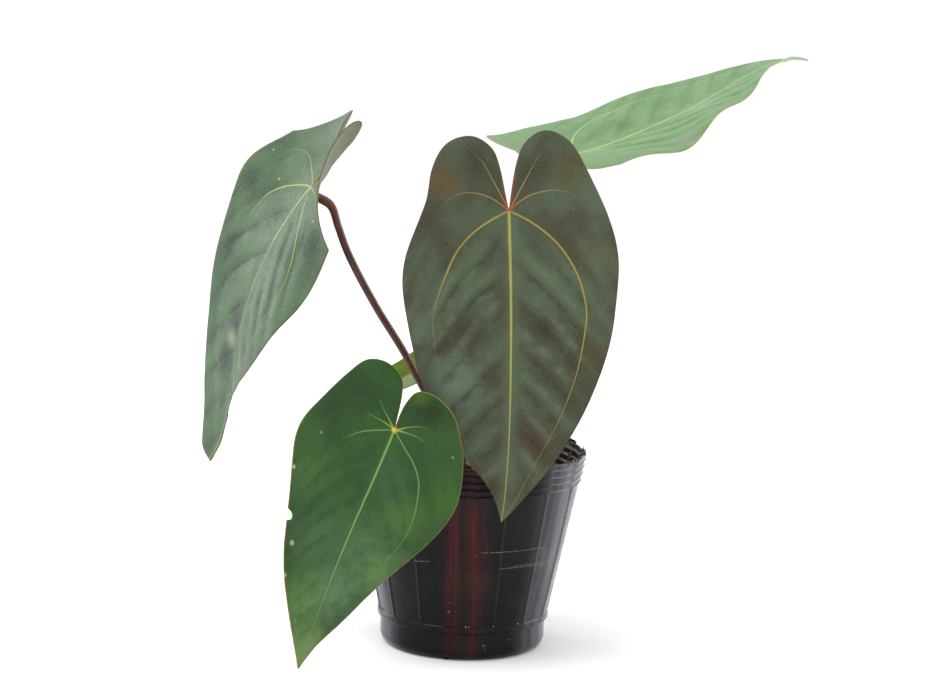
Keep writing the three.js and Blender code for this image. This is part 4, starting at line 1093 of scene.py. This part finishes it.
# Each look gives the colours named in COLOURS, then shares and measures where they differ from the usual.
# A patch is its flat place, its reach, its colour and its share.
USUAL_LOOK = {
    "furrow_shade_share": 0.55, "shine": 0.3, "halo": 0.3, "mid_end": 0.6, "lines": 0.75, "lobe_fade": 26, "rungs": 0.1,
    "sinus": 0, "starts": 0.4, "core": 0.6, "rim_share": 0.7, "net": 0.05, "gloss": 0.4, "sheen": 0,
    "bump": 0.3,
}
# The furrow colour paints shade into the quilting's furrows and also gives a fine mottle. The crown colour
# paints a highlight on the cushions' crowns and also the pale band beside the midrib.
COLOURS = "skin second furrow crown vein midrib heart rim dot".split()
LOOKS = {
    "left": {
        "colours": "4e644a 405741 272e2d 5f7360 99ab5d 9fb656 bd7e2f 5f4226 b6b89b", "shine": 0.35,
        "halo": 0.2, "mid_end": 0.5, "thick": 0.16, "lobe_fade": 40, "rungs": 0.15,
        "outer_fade": ((28, 48, 0), (10, 60, 0.3)), "sinus": 0.3, "starts": 0.5, "core": 0.5,
        "rim_share": 0.85, "dots": 0.5, "specular": 0.2, "outside": 0.6,
        # The first three patches are painted light. The near-black blue-grey ones are painted shade in the
        # quilting, and the grey one between them is a painted sheen.
        "patches": ((8, 74, 8, "20242c", 0.95), (8, 83.5, 5, "8a8378", 0.85), (10, 94, 8, "1e222a", 0.95),
            (33, 52, 8, "2a322f", 0.8), (39, 27, 8, "2b3531", 0.8), (23, 32, 9, "5a6553", 0.7),
            (-30, 36, 9, "42443c", 0.8), (-35, 8, 9, "28312f", 0.85), (-24, 24, 6, "323b36", 0.7),
            (30, -10, 14, "66735f", 0.6), (30, 80, 10, "3f5c45", 0.6)),
    },
    "centre": {
        "colours": "414d3b 383a2b 251f18 566850 8a7a3a 8a8745 9d301e 463026 1f231b", "shine": 0.4,
        "mid_end": 0.75, "lines": 0.85, "thick": 0.2, "lobe_fade": 34, "rungs": 0.12,
        "outer_fade": ((34, 58, 0.2), (60, 105, 0.35)), "sinus": 0.45, "starts": 0.7, "core": 0.25,
        "rim_share": 0.8, "dots": 0.6, "gloss": 0.46, "specular": 0.15, "sheen": 0.1, "outside": 0.35,
        "bump": 0.2,
        "patches": ((30, -8, 10, "543a14", 0.6), (36, 8, 9, "3a3826", 0.8), (14, -20, 9, "292718", 0.85),
            (-26, -18, 10, "473614", 0.6), (-10, -18, 8, "2e2e1d", 0.8), (16, 26, 13, "47563f", 0.8),
            (18, 51, 9, "2a281d", 0.85), (-14, 50, 9, "28261c", 0.85), (24, 73, 13, "586b5b", 0.9),
            (39, 52, 9, "4a5a47", 0.85), (-12, 72, 9, "333a30", 0.7), (-12, 95, 13, "3a2d24", 0.8),
            (-37, 20, 10, "4d5641", 0.8), (-34, 60, 8, "473414", 0.5), (-26, 78, 8, "29331f", 0.7),
            (8, 116, 11, "3a291c", 0.8), (-16, 28, 11, "4a5a46", 0.8)),
    },
    "low": {
        "colours": "2b4a1e 22401b 193116 355831 6d8f55 658a44 c8b33b 846234 91a35b", "furrow_shade_share": 0.3,
        "mid_end": 0.25, "lines": 0.6, "thick": 0.12, "lobe_fade": 20,
        "outer_fade": ((14, 30, 0.1), (25, 90, 0.2)), "starts": 0.3, "core": 1, "rim_share": 0.6,
        "net": 0.02, "dots": 0.4, "gloss": 0.36, "specular": 0.18, "outside": 0.5, "bump": 0.35,
        "patches": ((18, -10, 12, "1e3218", 0.85), (26, 4, 12, "1c3018", 0.85),
            (-10, -13, 9, "16290c", 0.9), (-4, -17, 4, "3c5206", 0.8), (-22, 8, 9, "28471d", 0.8),
            (-6, 20, 10, "344b34", 0.8), (-17, 32, 11, "41662f", 0.7), (-5, 47, 14, "45613f", 0.75),
            (13, 53, 11, "3b5933", 0.8), (-21, 55, 14, "56763f", 0.75), (-4, 69, 15, "54714b", 0.75),
            (10, 76, 13, "4f6f38", 0.75), (1, 96, 13, "69813f", 0.8), (-30, 17, 9, "3c611a", 0.5),
            (31, 34, 10, "345a1a", 0.5), (36, 47.5, 2, "8a5a30", 0.9), (35, 34, 1, "b9b48a", 0.9),
            (25, 58, 1.2, "b9b48a", 0.9), (23, 69, 0.9, "b9b48a", 0.9)),
    },
    "right": {
        "colours": "66865c 5d7e54 3f5c38 718c64 a0b66e a6bb68 b5b461 91834c c5c3a7", "furrow_shade_share": 0.4,
        "shine": 0.5, "halo": 0.35, "thick": 0.18, "rungs": 0.2,
        "outer_fade": ((8, 20, 0), (30, 100, 0.35)), "dots": 0.3, "specular": 0.22, "outside": 0.8,
        "bump": 0.35,
        "patches": ((-16, 33, 10, "456a36", 0.85), (-13, 20, 7, "4b6f3c", 0.7), (25, -3, 10, "628856", 0.7),
            (41, 32, 6, "77796f", 0.8), (-18, 58, 9, "4f7345", 0.6), (16, 24, 10, "6c905f", 0.8),
            (8, 60, 12, "7a9971", 0.7), (0, 131, 5, "5a4322", 0.95)),
    },
    "back": {
        # Its pale half colour is a painted reflection of the sky.
        "colours": "5b6d10 667a1a 42521f 6e7a40 81924b 8a9b50 957939 6d572e 7c8950", "sky_reflection_half": "8c9a78",
        "furrow_shade_share": 0.3, "halo": 0.25, "lines": 0.6, "thick": 0.14,
        "outer_fade": ((20, 80, 0.3), (20, 80, 0.3)), "sinus": 0.2, "dots": 0.2, "gloss": 0.6,
        "specular": 0.08, "outside": 1, "patches": (),
    },
}
UNDER = {"left": ("70735a", "5f634c"), "centre": ("6d5a48", "5c5040"), "low": ("6f8a58", "5c7848"),
         "right": ("8fae84", "7d9c72"), "back": ("565f1c", "6c7340")}
STALKS = {"left": ("2c120b", "57291a"), "centre": ("2c120b", "57291a"), "low": ("4a3a22", "6a5230"),
          "right": ("7a5a3c", "94804a"), "back": ("6c6a38", "8a8450")}


def stalk_finish(name, dark, light):
    """Red-brown to olive skin with fine streaks along the stalk, browner at its top, greener at its foot."""
    finish, tree, place = new_finish(name)
    run = read(tree, "run")
    streak = noise(place, 420.0, 4.0, 0.6)
    skin = mixed(band(noise(place, 60.0, 2.0), 0.3, 0.7), dark, light)
    skin = mixed(band(streak, 0.45, 0.7, 0.0, 0.45), skin, light)
    skin = mixed(band(run, 0.8, 1.0, 0.0, 0.6), skin, "7a4a2c")
    skin = mixed(band(run, 0.0, 0.12, 0.6, 0.0), skin, "6b6238")
    return painted(finish, skin, band(streak, 0.3, 0.7, 0.34, 0.5), streak, 0.0002, 0.5)


for name, leaf in LEAVES.items():
    leaf["right"]["hand"], leaf["left"]["hand"] = 1, -1
    look = USUAL_LOOK | dict(zip(COLOURS, LOOKS[name]["colours"].split())) | LOOKS[name]
    look["size"] = leaf["size"] = leaf["length"] / USUAL_LENGTH
    rows, columns = (240, 60) if name != "back" else (140, 36)
    places, faces, under, facts = blade_mesh(leaf, rows, columns, leaf["quilting"] * leaf["size"])
    blade = new_piece("leaf_" + name, places, faces)
    set_attribute(blade, "veins", facts["veins"], "FLOAT_VECTOR")
    set_attribute(blade, "lie", facts["lie"], "FLOAT_VECTOR")
    set_attribute(blade, "rung", facts["rung"])
    blade.data.materials.append(leaf_finish("leaf_top_" + name, look))
    pale, dark = UNDER[name]
    # Below, the same quilting is painted as well: the dark underside colour paints the shade and the pale one
    # paints the highlight.
    beneath = look | {"skin": pale, "second": dark, "furrow": dark, "crown": pale}
    beneath |= {"patches": (), "gloss": 0.5}
    blade.data.materials.append(leaf_finish("leaf_under_" + name, beneath))
    blade.data.polygons.foreach_set("material_index", under.astype(np.int32))
    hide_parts("blade_" + name)

    places, faces, run = stalk_mesh(leaf)
    stalk = new_piece("leaf_stalk_" + name, places, faces)
    set_attribute(stalk, "run", run)
    stalk.data.materials.append(stalk_finish("stalk_skin_" + name, *STALKS[name]))
    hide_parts("stalk_" + name)


# The stem: a short stub standing in the mix, ringed by the scars of old leaves. The feet of the stalks
# clasp it, and the dry sheaths of older leaves have rotted to brown fibres round it.
STEM_FOOT = 50
STEM_TOP = 89
STEM_RADIUS = 6.6


def stem_mesh():
    """A turned stub whose radius swells at four rings and is lumpy round it, closed at both ends."""
    z = np.linspace(STEM_FOOT, STEM_TOP, 70)
    shoulder = unit((STEM_TOP - z) / 9) ** 0.5
    rings = 0.35 * np.exp(-(((z[:, None] - np.array([66, 73, 79.5, 84.5])) / 0.8) ** 2)).sum(1)
    degrees = np.arange(0, 360, 7.5)
    turn = np.radians(degrees)
    lumpy = 0.3 * np.sin(3 * turn + z[:, None] / 3) + 0.18 * np.sin(7 * turn - z[:, None])
    radius = (STEM_RADIUS * shoulder + rings * shoulder)[:, None] + lumpy * shoulder[:, None]
    places = around(np.maximum(radius, 0.01), z[:, None], degrees)
    places = np.concatenate([around(np.full((1, len(turn)), 0.01), STEM_FOOT, degrees), places])
    return places.reshape(-1, 3), ring_faces(*places.shape[:2])


def strands(starts, directions, lengths, widths, rng, steps=7):
    """Three-sided fibres that leave a place in a direction, bend a little at random and taper away."""
    places, faces = [], []
    for start, direction, length, width in zip(starts, directions, lengths, widths):
        t = np.linspace(0, 1, steps)[:, None]
        bend = rng.normal(0, 0.35, 3) * length
        path = start + direction * length * t + bend * t ** 2 * 0.5
        radius = width * (1 - 0.85 * t)
        one, sides = tube(path, radius, 3)
        first = sum(map(len, places))
        places.append(one)
        faces += [[first + n for n in side] for side in sides]
    return np.concatenate(places), faces


def stem_finish(name, dark, light):
    """Corky skin, streaked upright, with greener patches."""
    finish, tree, place = new_finish(name)
    stretch = add_node(tree, "VectorMath", {"operation": "MULTIPLY"}, Vector=place)
    fill(stretch.inputs[1], (1.0, 1.0, 0.25))
    fibre = noise(Output(stretch.outputs[0]), 700.0, 4.0, 0.65)
    skin = mixed(band(fibre, 0.3, 0.7), dark, light)
    skin = mixed(band(noise(place, 150.0, 3.0), 0.5, 0.7, 0.0, 0.6), skin, "5f6a38")
    return painted(finish, skin, band(fibre, 0.3, 0.7, 0.85, 0.6), fibre, 0.0004, 0.7)


places, faces = stem_mesh()
stem = new_piece("stem_stub", places, faces)
welded(stem.data)
stem.data.materials.append(stem_finish("stem_skin", "4a3a24", "7d6a40"))
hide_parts("stem")

FIBRE_COUNT = 90
rng = np.random.default_rng(12)
turn = rng.uniform(0, 360, FIBRE_COUNT)
roots = around(STEM_RADIUS - 0.5, rng.uniform(76, 86, FIBRE_COUNT), turn)
lean = rng.uniform(0.1, 0.9, FIBRE_COUNT)[:, None]
ways = around(1, 0, turn + rng.uniform(-70, 70, FIBRE_COUNT)) * lean + np.array([0, 0, 1]) * (1 - lean * 1.3)
longs, widths = rng.uniform(4, 13, FIBRE_COUNT), rng.uniform(0.12, 0.32, FIBRE_COUNT)
places, faces = strands(roots, ways, longs, widths, rng)
fibres = new_piece("sheath_fibres", places, faces)
fibres.data.materials.append(stem_finish("dry_fibre", "5a4026", "a3855a"))


# Loose ends in the pot: a dry tan root that has crept out of the mix and lies over the front rim, and a
# red-brown sliver of bark that leans against the wall at the right. Both are thin, bent and uneven.
LOOSE_ENDS = {
    "dry_root": (0.42, ("7a6040", "c0a06c"), (
        (-4, -9, 80), (-2.5, -13.5, 85.2), (-1.2, -22, 86.2), (-0.7, -32.6, 87.3), (0.4, -41, 86.9),
        (1.7, -47.5, 87.3), (2.4, -51.8, 87.2), (3.0, -53.4, 86.9))),
    "bark_sliver": (0.5, ("3e1a10", "8a4328"), (
        (41, -18, 77.5), (42.5, -16.5, 82), (43.8, -15.4, 85.5), (44.2, -16.1, 88.6))),
}


def loose_end(points, thick, rng):
    """A tube along a smooth curve through the points. It tapers at both ends, and its radius and its
    line are unsteady."""
    t = np.linspace(0, 1, 16 * len(points))
    path = smooth_edge(points, t * (len(points) - 1)) + np.cumsum(rng.normal(0, 0.05, (len(t), 3)), 0) * 0.6
    taper = unit(np.minimum(t + 0.05, 1.02 - t) * 9) ** 0.5
    knots = 1 + 0.18 * np.sin(37 * t + 1) + 0.12 * np.sin(71 * t)
    return tube(path, (thick * taper * knots)[:, None] * (1 + rng.normal(0, 0.06, (len(t), 8))), 8)


for number, (name, (thick, colours, points)) in enumerate(LOOSE_ENDS.items()):
    places, faces = loose_end(points, thick, np.random.default_rng(30 + number))
    scrap = new_piece(name, places, faces)
    scrap.data.materials.append(stem_finish(name + "_skin", *colours))


# The stand: a pale floor that runs on past the picture, one wide soft light from above, the left and in
# front, two weak windows behind that edge the leaves and the pot, and a bright even surround, as in a
# photographer's light tent.
def soft_light(name, place, aim, wide, power):
    """A square light that faces a place."""
    lamp = bpy.data.lights.new(name, "AREA")
    lamp.size = wide
    lamp.energy = power
    holder = bpy.data.objects.new(name, lamp)
    way = Vector(place) - Vector(aim)
    holder.location = place
    holder.rotation_euler = way.to_track_quat("Z", "Y").to_euler()
    bpy.context.scene.collection.objects.link(holder)


FLOOR_REACH = 30
floor_mesh = bpy.data.meshes.new("floor")
corners = [(x * FLOOR_REACH, y * FLOOR_REACH, 0) for x, y in ((-1, -1), (1, -1), (1, 1), (-1, 1))]
floor_mesh.from_pydata(corners, [], [(0, 1, 2, 3)])
floor = bpy.data.objects.new("floor", floor_mesh)
bpy.context.scene.collection.objects.link(floor)
floor_finish, tree, _ = new_finish("pale_paper")
paper = tree.nodes["Principled BSDF"].inputs
paper["Base Color"].default_value = (0.93, 0.93, 0.94, 1)
paper["Roughness"].default_value = 0.9
floor.data.materials.append(floor_finish)

soft_light("key", (-0.7, -0.6, 1.6), (0, 0, 0.12), 1.5, 25)
soft_light("right_window", (1.25, 0.42, 0.45), (0, 0, 0.1), 0.7, 7)
soft_light("left_window", (-1.0, 0.75, 0.5), (0, 0, 0.1), 0.6, 3)
world = bpy.data.worlds.new("tent")
bpy.context.scene.world = world
world.use_nodes = True
surround = world.node_tree.nodes["Background"].inputs
surround["Color"].default_value = (1, 1, 1, 1)
surround["Strength"].default_value = 1.08
bpy.context.scene.view_settings.view_transform = "Standard"

# The camera stands a little over a metre in front, looks down by about eight degrees through a portrait
# lens, and is held not quite level.
CAMERA_PLACE = (0, -1.0625, 0.2847)
CAMERA_DOWN, CAMERA_RIGHT, CAMERA_TILT = 8.34, -0.1, 1.8
camera = bpy.data.objects.new("camera", bpy.data.cameras.new("camera"))
bpy.context.scene.collection.objects.link(camera)
camera.data.lens = 95.8
camera.data.sensor_width = 36
camera.data.clip_end = 100
down, swing, tilt = np.radians([CAMERA_DOWN, CAMERA_RIGHT, CAMERA_TILT])
ahead = np.array([np.sin(swing) * np.cos(down), np.cos(swing) * np.cos(down), -np.sin(down)])
level = np.cross(ahead, [0, 0, 1])
level /= np.linalg.norm(level)
upright = np.cross(level, ahead)
right = np.cos(tilt) * level + np.sin(tilt) * upright
up = np.cos(tilt) * upright - np.sin(tilt) * level
stand = Matrix(np.column_stack([right, up, -ahead]).tolist()).to_4x4()
stand.translation = CAMERA_PLACE
camera.matrix_world = stand
bpy.context.scene.camera = camera
